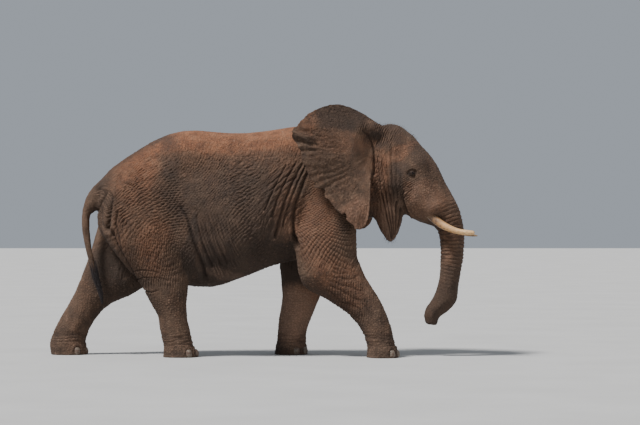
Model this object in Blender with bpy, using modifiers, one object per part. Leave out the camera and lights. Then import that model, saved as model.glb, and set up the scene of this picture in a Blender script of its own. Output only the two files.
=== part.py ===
"""A life-size African bush elephant, walking, as a still museum model.

Metres, +Z up, +X the way the animal walks, +Y its left. The soles stand on z = 0.
The flesh is modelled whole, from lofts over named stations and a few muscle masses, and then
parted with thin cuts. Ears, eyes, tusks, toenails and the tail's hair are solids of their own.
"""

import math

import bmesh
import bpy
import numpy as np
from mathutils import Matrix, Vector
from mathutils.bvhtree import BVHTree

# ---------------------------------------------------------------- driving dimensions
VOXEL = 0.018               # grain of the union of the lofts
CUT_GAP = 0.0003            # air left at each cut and round each inset piece
FLESH_TRIANGLES = 2900      # triangles of the whole skin, before it is parted
RING_POINTS = 28            # points round a loft's section
RINGS_PER_SPAN = 4          # rings from one station to the next
MASS_SEGMENTS = (24, 16)    # segments round and rings along a muscle mass
SMOOTHING = (0.5, 12)       # strength and number of the passes that blend the lofts together
THIN_SHARE = 0.15           # share of that smoothing left on the tail and the end of the trunk
HEAD_SHARE = 0.5            # how readily the head and the thin parts give up triangles
SHARP_EDGE = math.radians(50)    # an edge over this angle is shaded sharp
FLOOR_BLOCK = (8.0, 4.0, 1.0)    # the block below the floor that cuts the soles flat
SOLE_DEPTH = 0.04           # how far the foot lofts run below the floor before the soles are cut
HEAD_TURN = math.radians(-7.0)   # the head looks a little to the animal's right
TURN_AXIS_X = 1.0           # the neck turns about a vertical line here
TURN_LENGTH = 0.6           # length of neck over which the turn comes in

RIGHT, LEFT = -1, 1         # sign of Y on each side
SIDES = (("right", RIGHT), ("left", LEFT))

# Each station is (upper or front point, lower or back point, half width, sideways centre, widest).
# The two points are (x, z) on the animal's outline. "Widest" moves the widest place towards the
# upper point, or towards the lower one where it is negative, as a share of the half depth.
TORSO = (
    ((-2.03, 2.15), (-2.06, 1.62), 0.15, 0, 0.0),   # under the root of the tail
    ((-1.95, 2.285), (-1.98, 1.45), 0.28, 0, 0.0),
    ((-1.80, 2.42), (-1.80, 1.28), 0.37, 0, 0.0),
    ((-1.56, 2.58), (-1.56, 1.15), 0.44, 0, 0.05),
    ((-1.34, 2.705), (-1.34, 1.03), 0.48, 0, 0.0),
    ((-1.10, 2.80), (-1.12, 0.93), 0.515, 0, -0.10),   # hips
    ((-0.85, 2.825), (-0.88, 0.865), 0.55, 0, -0.18),
    ((-0.55, 2.795), (-0.58, 0.865), 0.58, 0, -0.22),   # belly
    ((-0.25, 2.79), (-0.26, 0.965), 0.585, 0, -0.22),
    ((0.05, 2.82), (0.05, 1.09), 0.55, 0, -0.18),
    ((0.35, 2.865), (0.35, 1.17), 0.49, 0, -0.12),
    ((0.65, 2.87), (0.66, 1.23), 0.43, 0, -0.10),   # withers
    ((0.92, 2.80), (0.96, 1.33), 0.37, 0, -0.05),
    ((1.06, 2.60), (1.13, 1.52), 0.29, 0, 0.0),
    ((1.12, 2.40), (1.17, 1.80), 0.16, 0, 0.0),
)
NECK_HEAD_TRUNK = (
    ((0.70, 2.76), (0.95, 1.45), 0.34, 0, 0.0),
    ((1.10, 2.80), (1.20, 1.61), 0.33, 0, 0.0),
    ((1.38, 2.845), (1.39, 1.74), 0.315, 0, 0.05),   # back of the skull
    ((1.57, 2.895), (1.57, 1.80), 0.325, 0, 0.10),   # crown
    ((1.72, 2.865), (1.69, 1.80), 0.34, 0, 0.10),
    ((1.88, 2.755), (1.785, 1.775), 0.355, 0, 0.05),
    ((1.99, 2.625), (1.84, 1.73), 0.35, 0, 0.0),   # brow
    ((2.10, 2.51), (1.90, 1.70), 0.345, 0, -0.05),
    ((2.20, 2.36), (1.97, 1.67), 0.315, 0, -0.10),
    ((2.29, 2.17), (2.04, 1.645), 0.28, 0, -0.10),
    ((2.38, 2.01), (2.10, 1.63), 0.25, 0, -0.05),   # sockets of the tusks
    ((2.455, 1.87), (2.16, 1.60), 0.225, 0, 0.0),
    ((2.50, 1.72), (2.195, 1.54), 0.20, 0, 0.0),
    ((2.53, 1.56), (2.215, 1.44), 0.178, 0, 0.0),
    ((2.53, 1.38), (2.22, 1.31), 0.162, 0, 0.0),   # the trunk hangs free
    ((2.515, 1.20), (2.22, 1.17), 0.148, 0, 0.0),
    ((2.485, 1.03), (2.215, 1.03), 0.138, 0, 0.0),
    ((2.46, 0.87), (2.19, 0.89), 0.13, 0, 0.0),
    ((2.435, 0.705), (2.15, 0.77), 0.124, 0, 0.0),
    ((2.35, 0.585), (2.09, 0.675), 0.115, 0, 0.0),   # the trunk bends back
    ((2.25, 0.51), (2.04, 0.595), 0.102, 0, 0.0),
    ((2.205, 0.455), (2.02, 0.50), 0.09, 0, 0.0),
    ((2.175, 0.385), (2.05, 0.40), 0.075, 0, 0.0),
)
JAW = (
    ((1.80, 1.97), (1.34, 1.92), 0.215, 0, 0.0),
    ((1.775, 1.80), (1.385, 1.74), 0.195, 0, 0.0),
    ((1.76, 1.69), (1.43, 1.645), 0.15, 0, 0.0),
    ((1.73, 1.58), (1.47, 1.555), 0.105, 0, 0.0),
    ((1.685, 1.48), (1.52, 1.475), 0.068, 0, 0.0),
    ((1.63, 1.41), (1.565, 1.415), 0.04, 0, 0.0),   # tip of the lower lip
)
TAIL = (
    ((-1.86, 2.38), (-1.84, 1.95), 0.17, 0, 0.0),
    ((-2.02, 2.22), (-1.97, 1.90), 0.125, 0, 0.0),
    ((-2.135, 2.09), (-2.03, 1.84), 0.09, 0, 0.0),
    ((-2.21, 1.97), (-2.09, 1.80), 0.07, 0, 0.0),
    ((-2.25, 1.82), (-2.148, 1.76), 0.055, 0, 0.0),
    ((-2.262, 1.68), (-2.158, 1.66), 0.048, 0, 0.0),
    ((-2.25, 1.52), (-2.15, 1.51), 0.043, 0, 0.0),
    ((-2.22, 1.36), (-2.13, 1.36), 0.038, 0, 0.0),
    ((-2.18, 1.20), (-2.10, 1.215), 0.034, 0, 0.0),
    ((-2.14, 1.08), (-2.065, 1.09), 0.030, 0, 0.0),
    ((-2.115, 0.99), (-2.055, 1.00), 0.024, 0, 0.0),
)
FORELEG_RIGHT = (
    ((0.98, 2.45), (0.54, 2.45), 0.05, 0.27, 0.0),
    ((1.10, 2.15), (0.42, 2.10), 0.125, 0.325, 0.0),
    ((1.175, 1.80), (0.41, 1.72), 0.175, 0.345, 0.0),
    ((1.185, 1.55), (0.41, 1.40), 0.20, 0.34, 0.0),
    ((1.205, 1.26), (0.43, 1.10), 0.195, 0.335, 0.0),   # elbow
    ((1.295, 1.03), (0.53, 0.86), 0.185, 0.33, 0.0),
    ((1.38, 0.90), (0.76, 0.735), 0.17, 0.325, 0.0),
    ((1.47, 0.77), (1.00, 0.575), 0.16, 0.32, 0.0),   # wrist
    ((1.575, 0.575), (1.165, 0.43), 0.157, 0.32, 0.0),
    ((1.645, 0.40), (1.265, 0.29), 0.157, 0.32, 0.0),
    ((1.685, 0.22), (1.315, 0.15), 0.168, 0.32, 0.0),
    ((1.725, 0.10), (1.315, 0.05), 0.198, 0.32, 0.0),
    ((1.745, -SOLE_DEPTH), (1.31, -SOLE_DEPTH), 0.212, 0.32, 0.0),
)
FORELEG_LEFT = (
    ((0.98, 2.45), (0.52, 2.45), 0.05, 0.27, 0.0),
    ((1.08, 2.15), (0.38, 2.10), 0.125, 0.325, 0.0),
    ((1.10, 1.80), (0.33, 1.72), 0.175, 0.345, 0.0),
    ((1.04, 1.50), (0.25, 1.40), 0.20, 0.34, 0.0),
    ((0.93, 1.22), (0.20, 1.13), 0.195, 0.335, 0.0),   # elbow
    ((0.83, 0.98), (0.225, 0.93), 0.18, 0.33, 0.0),
    ((0.735, 0.74), (0.235, 0.70), 0.163, 0.325, 0.0),   # wrist
    ((0.645, 0.53), (0.20, 0.48), 0.157, 0.32, 0.0),
    ((0.57, 0.34), (0.175, 0.28), 0.157, 0.32, 0.0),
    ((0.545, 0.17), (0.165, 0.13), 0.17, 0.32, 0.0),
    ((0.565, 0.07), (0.145, 0.05), 0.198, 0.32, 0.0),
    ((0.575, -SOLE_DEPTH), (0.14, -SOLE_DEPTH), 0.212, 0.32, 0.0),
)
HINDLEG_RIGHT = (
    ((-1.08, 2.36), (-1.66, 2.32), 0.05, 0.24, 0.0),
    ((-0.88, 2.05), (-1.87, 2.03), 0.15, 0.31, 0.0),
    ((-0.84, 1.70), (-1.98, 1.72), 0.215, 0.30, 0.0),
    ((-0.90, 1.38), (-1.93, 1.44), 0.23, 0.29, 0.0),
    ((-0.91, 1.10), (-1.72, 1.15), 0.21, 0.285, 0.0),
    ((-0.905, 0.88), (-1.51, 0.90), 0.188, 0.28, 0.0),   # knee
    ((-0.925, 0.68), (-1.39, 0.68), 0.165, 0.28, 0.0),
    ((-0.92, 0.50), (-1.29, 0.50), 0.15, 0.28, 0.0),   # shank
    ((-0.88, 0.32), (-1.26, 0.30), 0.15, 0.28, 0.0),
    ((-0.835, 0.14), (-1.225, 0.13), 0.165, 0.28, 0.0),
    ((-0.80, 0.05), (-1.225, 0.05), 0.185, 0.28, 0.0),
    ((-0.79, -SOLE_DEPTH), (-1.23, -SOLE_DEPTH), 0.193, 0.28, 0.0),
)
HINDLEG_LEFT = (
    ((-1.08, 2.36), (-1.66, 2.32), 0.05, 0.24, 0.0),
    ((-0.92, 2.05), (-1.88, 2.03), 0.15, 0.31, 0.0),
    ((-0.95, 1.65), (-2.05, 1.75), 0.215, 0.30, 0.0),
    ((-1.12, 1.25), (-2.11, 1.52), 0.225, 0.29, 0.0),
    ((-1.38, 0.93), (-2.195, 1.25), 0.20, 0.285, 0.0),   # knee
    ((-1.68, 0.735), (-2.28, 1.02), 0.175, 0.28, 0.0),
    ((-1.925, 0.63), (-2.385, 0.77), 0.157, 0.28, 0.0),   # shank
    ((-2.075, 0.49), (-2.53, 0.51), 0.152, 0.28, 0.0),
    ((-2.175, 0.33), (-2.63, 0.34), 0.155, 0.28, 0.0),
    ((-2.225, 0.17), (-2.69, 0.19), 0.168, 0.28, 0.0),
    ((-2.215, 0.06), (-2.695, 0.10), 0.185, 0.28, 0.0),
    ((-2.22, -SOLE_DEPTH), (-2.665, -SOLE_DEPTH), 0.193, 0.28, 0.0),
)
TAIL_TUFT = (
    ((-2.142, 1.05), (-2.052, 1.06), 0.036, 0, 0.0),
    ((-2.125, 0.95), (-2.030, 0.96), 0.038, 0, 0.0),
    ((-2.080, 0.82), (-1.985, 0.83), 0.034, 0, 0.0),
    ((-2.045, 0.73), (-1.980, 0.735), 0.023, 0, 0.0),
    ((-2.010, 0.64), (-1.990, 0.64), 0.007, 0, 0.0),
)

# Masses under the skin, on each side: centre, radii along X, Y and Z, and pitch in degrees.
MASSES = (
    ((0.72, 0.29, 2.00), (0.30, 0.15, 0.62), 8),       # shoulder blade
    ((0.83, 0.35, 1.48), (0.31, 0.17, 0.34), 20),      # upper arm
    ((-1.48, 0.31, 1.72), (0.42, 0.20, 0.58), -8),     # haunch
    ((2.165, 0.0, 0.432), (0.034, 0.030, 0.060), -12),   # front finger of the trunk
    ((2.060, 0.0, 0.447), (0.030, 0.032, 0.050), 12),    # rear finger of the trunk
)

# Soft swellings and hollows of the skin, on both sides: a point of the straight animal that
# they lie round, the radius that they fade out at, and their height, below 0 for a hollow.
RELIEF = (
    ((1.66, 0.12, 2.86), 0.26, 0.012),                 # dome of the crown
    ((2.00, 0.27, 2.43), 0.20, 0.040),                 # brow
    ((1.75, 0.33, 2.47), 0.24, -0.060),                # temple
    ((1.70, 0.33, 2.13), 0.22, 0.035),                 # cheekbone
    ((1.97, 0.33, 1.93), 0.26, 0.035),                 # cheek
    ((2.15, 0.26, 1.83), 0.18, 0.045),                 # socket of the tusk
    ((1.90, 0.34, 2.27), 0.10, -0.014),                # round the eye
    ((-1.08, 0.36, 2.45), 0.42, 0.045),                # point of the hip
    ((-0.72, 0.46, 2.30), 0.42, -0.035),               # flank
    ((-1.85, 0.20, 2.10), 0.28, -0.020),               # beside the root of the tail
    ((0.35, 0.50, 1.75), 0.38, -0.035),                # behind the shoulder
    ((0.66, 0.50, 1.05), 0.25, 0.030),                 # elbow
    ((1.20, 0.33, 2.25), 0.35, -0.030),                # side of the neck
)

EYE_PLACE = (1.897, 2.272)   # x and z of the eye on the straight head
EYE_RADIUS = 0.030
EYE_DEPTH = 0.014            # how far the eye's middle lies under the skin
TUSK_PATH = (                # centre and radius, from inside the socket to the tip
    ((2.02, 0.175, 1.86), 0.047),
    ((2.16, 0.225, 1.70), 0.047),
    ((2.33, 0.285, 1.595), 0.042),
    ((2.50, 0.325, 1.535), 0.031),
    ((2.62, 0.338, 1.522), 0.018),
    ((2.675, 0.340, 1.522), 0.004),
)

# The ear's outline from the front of its top, back over the shoulder, down to the lobe and up
# the free front edge, as (x, z), and its root on the skull from top to bottom.
EAR_OUTLINE = (
    (1.50, 2.90), (1.28, 3.015), (1.08, 3.10), (0.92, 3.13), (0.74, 3.095), (0.56, 2.995),
    (0.435, 2.87), (0.37, 2.73), (0.47, 2.54), (0.52, 2.36), (0.63, 2.14), (0.79, 1.96),
    (0.98, 1.76), (1.15, 1.60), (1.26, 1.585), (1.345, 1.69), (1.375, 1.95), (1.375, 2.22),
)
EAR_ROOT = ((1.49, 2.80), (1.40, 2.66), (1.375, 2.50), (1.375, 2.36))
EAR_ROOT_Y = 0.25           # inside the skull
# Each move of the ear's sheet to the side: how far, where it starts, and over what distance it
# comes in. The step is measured from the root, the flare back along x, the others along z.
EAR_STEP = (0.135, 0.0, 0.28)    # out from the root, to clear the neck
EAR_FLARE = (0.24, 1.40, 0.95)   # the rear edge stands further out
EAR_FOLD = (0.12, 2.72, 0.42)    # the top edge leans back in over the neck
EAR_HANG = (0.13, 2.35, 0.65)    # the lobe hangs out, clear of the shoulder
EAR_THICKNESS = (0.034, 0.018)   # at the root and at the edge
EAR_RAYS = 20               # rays from the root to the outline
EAR_STEPS = 4               # steps along each ray

NAIL_SIZE = Vector((0.022, 0.046, 0.052))   # half depth, half width and half height
NAIL_HEIGHT = 0.052
NAIL_TILT = math.radians(-12)
FORE_NAILS = (-66, -24, 24, 66)             # degrees round the foot from straight ahead
HIND_NAILS = (-48, 0, 48)

CUT_REACH = 0.32            # how far a cut across a loft runs past its outline, as a share of it
# Cuts that run across a loft: the loft, and the place along it counted in stations.
CROSS_CUTS = (
    ("trunk", 10.4), ("trunk", 13.6), ("trunk", 16.2), ("trunk", 19.0),
    ("tail", 2.9), ("tail", 5.5),
    ("foreleg_right", 7.0), ("foreleg_right", 9.7),
    ("foreleg_left", 6.0), ("foreleg_left", 8.5),
    ("hindleg_right", 6.2), ("hindleg_right", 8.4),
    ("hindleg_left", 5.9), ("hindleg_left", 8.2),
)
# Cuts through the body: two points of the plane, as (x, z), its middle's y and its half width.
BODY_CUTS = (
    ((0.10, 0.80), (0.10, 3.10), 0.0, 0.9),         # behind the shoulders
    ((-0.78, 0.70), (-0.78, 3.10), 0.0, 0.9),       # ahead of the haunches
    ((0.84, 3.10), (1.27, 1.30), 0.0, 0.9),         # base of the neck
    ((1.43, 3.10), (1.38, 1.55), 0.0, 0.6),         # back of the skull
    ((1.34, 1.885), (1.835, 1.728), 0.0, 0.45),     # mouth
    ((0.10, 1.045), (1.50, 1.20), 0.0, 0.75),       # top of the forelegs
    ((-0.70, 0.74), (-2.40, 1.44), -0.40, 0.35),    # top of the right hind leg
    ((-0.70, 0.74), (-2.40, 1.44), 0.40, 0.35),     # top of the left hind leg
)

# Each piece of the flesh, by a point near its middle.
FLESH = {
    "torso_front": (0.62, 0.0, 1.9),
    "torso_middle": (-0.35, 0.0, 1.85),
    "torso_rear": (-1.4, 0.0, 1.9),
    "neck": (1.2, 0.0, 2.2),
    "head": (1.85, 0.0, 2.3),
    "jaw": (1.57, -0.05, 1.63),
    "trunk_root": (2.38, -0.15, 1.65),
    "trunk_upper": (2.36, -0.15, 1.17),
    "trunk_lower": (2.31, -0.15, 0.80),
    "trunk_tip": (2.13, -0.15, 0.50),
    "tail_root": (-2.19, 0.0, 1.80),
    "tail": (-2.16, 0.0, 1.29),
    "foreleg_right_upper": (0.92, -0.33, 0.93),
    "foreleg_right_lower": (1.33, -0.32, 0.48),
    "foreleg_right_foot": (1.49, -0.32, 0.12),
    "foreleg_left_upper": (0.52, 0.33, 0.93),
    "foreleg_left_lower": (0.41, 0.32, 0.48),
    "foreleg_left_foot": (0.33, 0.32, 0.12),
    "hindleg_right_upper": (-1.25, -0.28, 0.83),
    "hindleg_right_lower": (-1.13, -0.28, 0.44),
    "hindleg_right_foot": (-1.06, -0.28, 0.12),
    "hindleg_left_upper": (-1.75, 0.28, 1.02),
    "hindleg_left_lower": (-2.26, 0.28, 0.47),
    "hindleg_left_foot": (-2.44, 0.28, 0.12),
}


# ---------------------------------------------------------------- scene and small helpers
def clear_scene():
    """Remove what the scene holds, and return fresh collections for the parts and the cutters."""
    for obj in list(bpy.data.objects):
        bpy.data.objects.remove(obj)
    collections = []
    for name in ("elephant", "cutters"):
        collection = bpy.data.collections.new(name)
        bpy.context.scene.collection.children.link(collection)
        collections.append(collection)
    return collections


def material(name, colour, roughness):
    """A plain Principled material; no part of the animal is metal."""
    made = bpy.data.materials.new(name)
    made.use_nodes = True
    shader = made.node_tree.nodes["Principled BSDF"]
    shader.inputs["Base Color"].default_value = (*colour, 1.0)
    shader.inputs["Roughness"].default_value = roughness
    shader.inputs["Metallic"].default_value = 0.0
    return made


def new_object(name, bm, collection):
    """Turn a bmesh into an object with its faces pointing out."""
    bmesh.ops.recalc_face_normals(bm, faces=bm.faces)
    mesh = bpy.data.meshes.new(name)
    bm.to_mesh(mesh)
    bm.free()
    obj = bpy.data.objects.new(name, mesh)
    collection.objects.link(obj)
    return obj


def apply_modifiers(obj):
    """Give the object the mesh that its modifiers make of it."""
    bpy.context.view_layer.update()
    graph = bpy.context.evaluated_depsgraph_get()
    mesh = bpy.data.meshes.new_from_object(obj.evaluated_get(graph))
    obj.modifiers.clear()
    obj.data = mesh


def smoothstep(value):
    """Ease from 0 to 1 as the value goes from 0 to 1."""
    value = min(max(value, 0.0), 1.0)
    return value * value * (3.0 - 2.0 * value)


def turned(point):
    """Where a point of the straight animal goes when the neck turns the head."""
    share = smoothstep((point.x - TURN_AXIS_X) / TURN_LENGTH)
    axis = Vector((TURN_AXIS_X, 0.0, 0.0))
    return Matrix.Rotation(HEAD_TURN * share, 3, "Z") @ (point - axis) + axis


# ---------------------------------------------------------------- lofts
def station_row(station, side):
    """A station's numbers, with its centre on one side of the animal."""
    upper, lower, width, centre, widest = station
    return (*upper, *lower, width, side * centre, widest)


def row_at(rows, place):
    """The smooth (Catmull-Rom) section at a place counted in stations."""
    rows = np.asarray(rows)
    padded = np.vstack([2 * rows[0] - rows[1], rows, 2 * rows[-1] - rows[-2]])
    span = min(int(place), len(rows) - 2)
    t = place - span
    before, start, end, after = padded[span:span + 4]
    linear = end - before
    square = 2 * before - 5 * start + 4 * end - after
    cube = 3 * start - before - 3 * end + after
    return start + 0.5 * t * (linear + t * (square + t * cube))


def add_loft(bm, rows, ring_points=RING_POINTS, rings_per_span=RINGS_PER_SPAN):
    """Add the closed loft over the stations to the bmesh."""
    rings = []
    for index in range((len(rows) - 1) * rings_per_span + 1):
        ux, uz, lx, lz, width, centre, widest = row_at(rows, index / rings_per_span)
        middle = Vector(((ux + lx) / 2, centre, (uz + lz) / 2))
        half = Vector(((ux - lx) / 2, 0.0, (uz - lz) / 2))
        ring = []
        for step in range(ring_points):
            angle = 2 * math.pi * step / ring_points
            rise = math.cos(angle) + widest * math.sin(angle) ** 2
            point = middle + half * rise + Vector((0.0, width * math.sin(angle), 0.0))
            ring.append(bm.verts.new(turned(point)))
        rings.append(ring)
    for ring, following in zip(rings, rings[1:]):
        for step in range(ring_points):
            after = (step + 1) % ring_points
            bm.faces.new((ring[step], ring[after], following[after], following[step]))
    bm.faces.new(rings[0])
    bm.faces.new(rings[-1])


def add_ellipsoid(bm, centre, radii, pitch):
    """Add an ellipsoid, pitched nose down by so many degrees, on each side of the animal."""
    for y in sorted({side * centre[1] for _, side in SIDES}):
        shape = Matrix.Translation((centre[0], y, centre[2]))
        shape = shape @ Matrix.Rotation(math.radians(pitch), 4, "Y") @ Matrix.Diagonal((*radii, 1.0))
        made = bmesh.ops.create_uvsphere(bm, u_segments=MASS_SEGMENTS[0], v_segments=MASS_SEGMENTS[1],
                                         radius=1.0, matrix=shape)
        for vertex in made["verts"]:
            vertex.co = turned(vertex.co)


# ---------------------------------------------------------------- the flesh, whole
def loft_tables():
    """Every loft's rows, by name."""
    return {
        "torso": [station_row(station, 0) for station in TORSO],
        "trunk": [station_row(station, 0) for station in NECK_HEAD_TRUNK],
        "jaw": [station_row(station, 0) for station in JAW],
        "tail": [station_row(station, 0) for station in TAIL],
        "foreleg_right": [station_row(station, RIGHT) for station in FORELEG_RIGHT],
        "foreleg_left": [station_row(station, LEFT) for station in FORELEG_LEFT],
        "hindleg_right": [station_row(station, RIGHT) for station in HINDLEG_RIGHT],
        "hindleg_left": [station_row(station, LEFT) for station in HINDLEG_LEFT],
    }


def model_relief(obj):
    """Raise the swellings and press the hollows into the skin, along its normals."""
    normals = [vertex.normal.copy() for vertex in obj.data.vertices]
    for centre, radius, height in RELIEF:
        for _, side in SIDES:
            middle = turned(Vector((centre[0], side * centre[1], centre[2])))
            for vertex, normal in zip(obj.data.vertices, normals):
                near = 1.0 - (vertex.co - middle).length / radius
                if near > 0.0:
                    vertex.co += normal * height * smoothstep(near)


def weigh(obj, name, rule):
    """A vertex group whose weights follow a rule on the place of each vertex."""
    group = obj.vertex_groups.new(name=name)
    for vertex in obj.data.vertices:
        group.add([vertex.index], rule(vertex.co), "REPLACE")
    return name


def breadth(place):
    """1 on the broad parts of the animal, little on the tail and the end of the trunk."""
    tail = smoothstep((-2.0 - place.x) / 0.1) * smoothstep((place.z - 0.9) / 0.2)
    trunk = smoothstep((place.x - 1.9) / 0.1) * smoothstep((1.0 - place.z) / 0.3)
    return 1.0 - (1.0 - THIN_SHARE) * max(tail, trunk)


def plainness(place):
    """1 on the plain surfaces, which may lose most triangles, and less on the head and thin parts."""
    head = smoothstep((place.x - 1.2) / 0.5)
    return 1.0 - (1.0 - HEAD_SHARE) * max(head, 1.0 - breadth(place))


def make_flesh(tables, collection):
    """The whole skin as one closed faceted body; its soles are cut flat later."""
    bm = bmesh.new()
    for rows in tables.values():
        add_loft(bm, rows)
    for centre, radii, pitch in MASSES:
        add_ellipsoid(bm, centre, radii, pitch)
    obj = new_object("flesh", bm, collection)
    union = obj.modifiers.new("union", "REMESH")
    union.mode = "VOXEL"
    union.voxel_size = VOXEL
    apply_modifiers(obj)
    smooth = obj.modifiers.new("smooth", "SMOOTH")
    smooth.factor, smooth.iterations = SMOOTHING
    smooth.vertex_group = weigh(obj, "broad", breadth)
    apply_modifiers(obj)
    model_relief(obj)
    thin = obj.modifiers.new("thin", "DECIMATE")
    thin.ratio = FLESH_TRIANGLES / (2 * len(obj.data.polygons))
    thin.vertex_group = weigh(obj, "plain", plainness)
    thin.vertex_group_factor = 0.08
    apply_modifiers(obj)
    obj.vertex_groups.clear()
    return obj


# ---------------------------------------------------------------- cuts
def add_slab(bm, first, second, centre_y, half_width, thickness=CUT_GAP):
    """A thin plate through two points of the animal's side view, standing across the animal."""
    first = Vector((first[0], centre_y, first[1]))
    second = Vector((second[0], centre_y, second[1]))
    along = second - first
    across = Vector((0.0, 1.0, 0.0))
    normal = along.normalized().cross(across)
    shape = Matrix((along, across * 2 * half_width, normal * thickness)).transposed().to_4x4()
    shape.translation = (first + second) / 2
    return bmesh.ops.create_cube(bm, size=1.0, matrix=shape)["verts"]


def add_cross_cut(bm, rows, place):
    """A plate across a loft at one place, a little larger than its section."""
    ux, uz, lx, lz, width, centre, _ = row_at(rows, place)
    upper = Vector((ux, uz))
    lower = Vector((lx, lz))
    reach = CUT_REACH * (upper - lower)
    middle = turned(Vector(((ux + lx) / 2, centre, (uz + lz) / 2)))
    return add_slab(bm, upper + reach, lower - reach, middle.y, (1 + CUT_REACH) * width)


def make_cutters(tables, collection):
    """The floor block and every plate that parts the flesh, as one cutter each."""
    cutters = []
    for first, second, centre_y, half_width in BODY_CUTS:
        bm = bmesh.new()
        add_slab(bm, first, second, centre_y, half_width)
        cutters.append(new_object("cut_body", bm, collection))
    for loft, place in CROSS_CUTS:
        bm = bmesh.new()
        add_cross_cut(bm, tables[loft], place)
        cutters.append(new_object("cut_" + loft, bm, collection))
    bm = bmesh.new()
    shape = Matrix.Translation((0.0, 0.0, -FLOOR_BLOCK[2] / 2)) @ Matrix.Diagonal((*FLOOR_BLOCK, 1.0))
    bmesh.ops.create_cube(bm, size=1.0, matrix=shape)
    cutters.append(new_object("floor", bm, collection))
    return cutters


def inflated(obj, collection):
    """A copy of a piece, larger by the gap all round, to cut its neighbour with."""
    copy = obj.copy()
    copy.data = obj.data.copy()
    copy.name = "room_for_" + obj.name
    collection.objects.link(copy)
    grow = copy.modifiers.new("gap", "DISPLACE")
    grow.strength = 1.5 * CUT_GAP
    grow.mid_level = 0.0
    apply_modifiers(copy)
    return copy


def subtract(obj, cutters):
    """Cut the cutters out of the object, one by one.

    EXACT drops whole lengths of the flesh between two thin plates, so the solver is MANIFOLD.
    """
    for cutter in cutters:
        cut = obj.modifiers.new("cut", "BOOLEAN")
        cut.operation = "DIFFERENCE"
        cut.solver = "MANIFOLD"
        cut.object = cutter
    apply_modifiers(obj)


# ---------------------------------------------------------------- pieces set into the flesh
def make_eye(name, side, flesh_tree, collection):
    """An eyeball, its middle a little under the skin of the head."""
    beside = turned(Vector((EYE_PLACE[0], side * 0.8, EYE_PLACE[1])))
    inward = (turned(Vector((EYE_PLACE[0], 0.0, EYE_PLACE[1]))) - beside).normalized()
    centre = flesh_tree.ray_cast(beside, inward)[0] + inward * EYE_DEPTH
    bm = bmesh.new()
    bmesh.ops.create_uvsphere(bm, u_segments=12, v_segments=7, radius=EYE_RADIUS,
                              matrix=Matrix.Translation(centre))
    return new_object("eye_" + name, bm, collection)


def make_tusk(name, side, collection):
    """A tusk as a poly curve whose bevel follows its taper, made into a mesh."""
    curve = bpy.data.curves.new("tusk", "CURVE")
    curve.dimensions = "3D"
    curve.bevel_depth = 1.0
    curve.bevel_resolution = 2
    curve.use_fill_caps = True
    spline = curve.splines.new("NURBS")
    spline.points.add(len(TUSK_PATH) - 1)
    for point, ((x, y, z), radius) in zip(spline.points, TUSK_PATH):
        point.co = (*turned(Vector((x, side * y, z))), 1.0)
        point.radius = radius
    spline.use_endpoint_u = True
    spline.order_u = 4
    spline.resolution_u = 2
    drawn = bpy.data.objects.new("tusk", curve)
    collection.objects.link(drawn)
    bpy.context.view_layer.update()
    graph = bpy.context.evaluated_depsgraph_get()
    mesh = bpy.data.meshes.new_from_object(drawn.evaluated_get(graph))
    bpy.data.objects.remove(drawn)
    bm = bmesh.new()
    bm.from_mesh(mesh)
    bmesh.ops.remove_doubles(bm, verts=bm.verts, dist=0.0001)
    return new_object("tusk_" + name, bm, collection)


def make_nails(leg, rows, bearings, flesh_tree, collection):
    """Toenails round the front of a foot, each half sunk in the flesh."""
    ux, _, lx, _, _, centre, _ = row_at(rows, len(rows) - 1.3)
    middle = Vector(((ux + lx) / 2, centre, NAIL_HEIGHT))
    nails = []
    for number, bearing in enumerate(bearings, start=1):
        outward = Vector((math.cos(math.radians(bearing)), math.sin(math.radians(bearing)), 0.0))
        surface = flesh_tree.ray_cast(middle + outward, -outward)[0]
        shape = Matrix.Translation(surface)
        shape = shape @ Matrix.Rotation(math.radians(bearing), 4, "Z")
        shape = shape @ Matrix.Rotation(NAIL_TILT, 4, "Y") @ Matrix.Diagonal((*NAIL_SIZE, 1.0))
        bm = bmesh.new()
        bmesh.ops.create_uvsphere(bm, u_segments=6, v_segments=4, radius=1.0, matrix=shape)
        nails.append(new_object(f"{leg}_nail_{number}", bm, collection))
    return nails


# ---------------------------------------------------------------- ears
def curve_at(points, share):
    """A smooth line through (x, z) points, by the share of its length in points."""
    return row_at(points, share * (len(points) - 1))


def eased(move, value):
    """How far one of the ear's moves has come at a value, which is counted from its start."""
    reach, _, distance = move
    return reach * smoothstep(value / distance)


def ear_point(share, along, side):
    """A point of the ear's middle sheet: share runs round the outline, along runs out from the root."""
    root_x, root_z = curve_at(EAR_ROOT, share)
    edge_x, edge_z = curve_at(EAR_OUTLINE, share)
    x = root_x + (edge_x - root_x) * along
    z = root_z + (edge_z - root_z) * along
    y = EAR_ROOT_Y + eased(EAR_STEP, along * math.hypot(edge_x - root_x, edge_z - root_z))
    y += eased(EAR_FLARE, EAR_FLARE[1] - x)
    y -= eased(EAR_FOLD, z - EAR_FOLD[1])
    y += eased(EAR_HANG, EAR_HANG[1] - z)
    return turned(Vector((x, side * y, z)))


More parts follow.
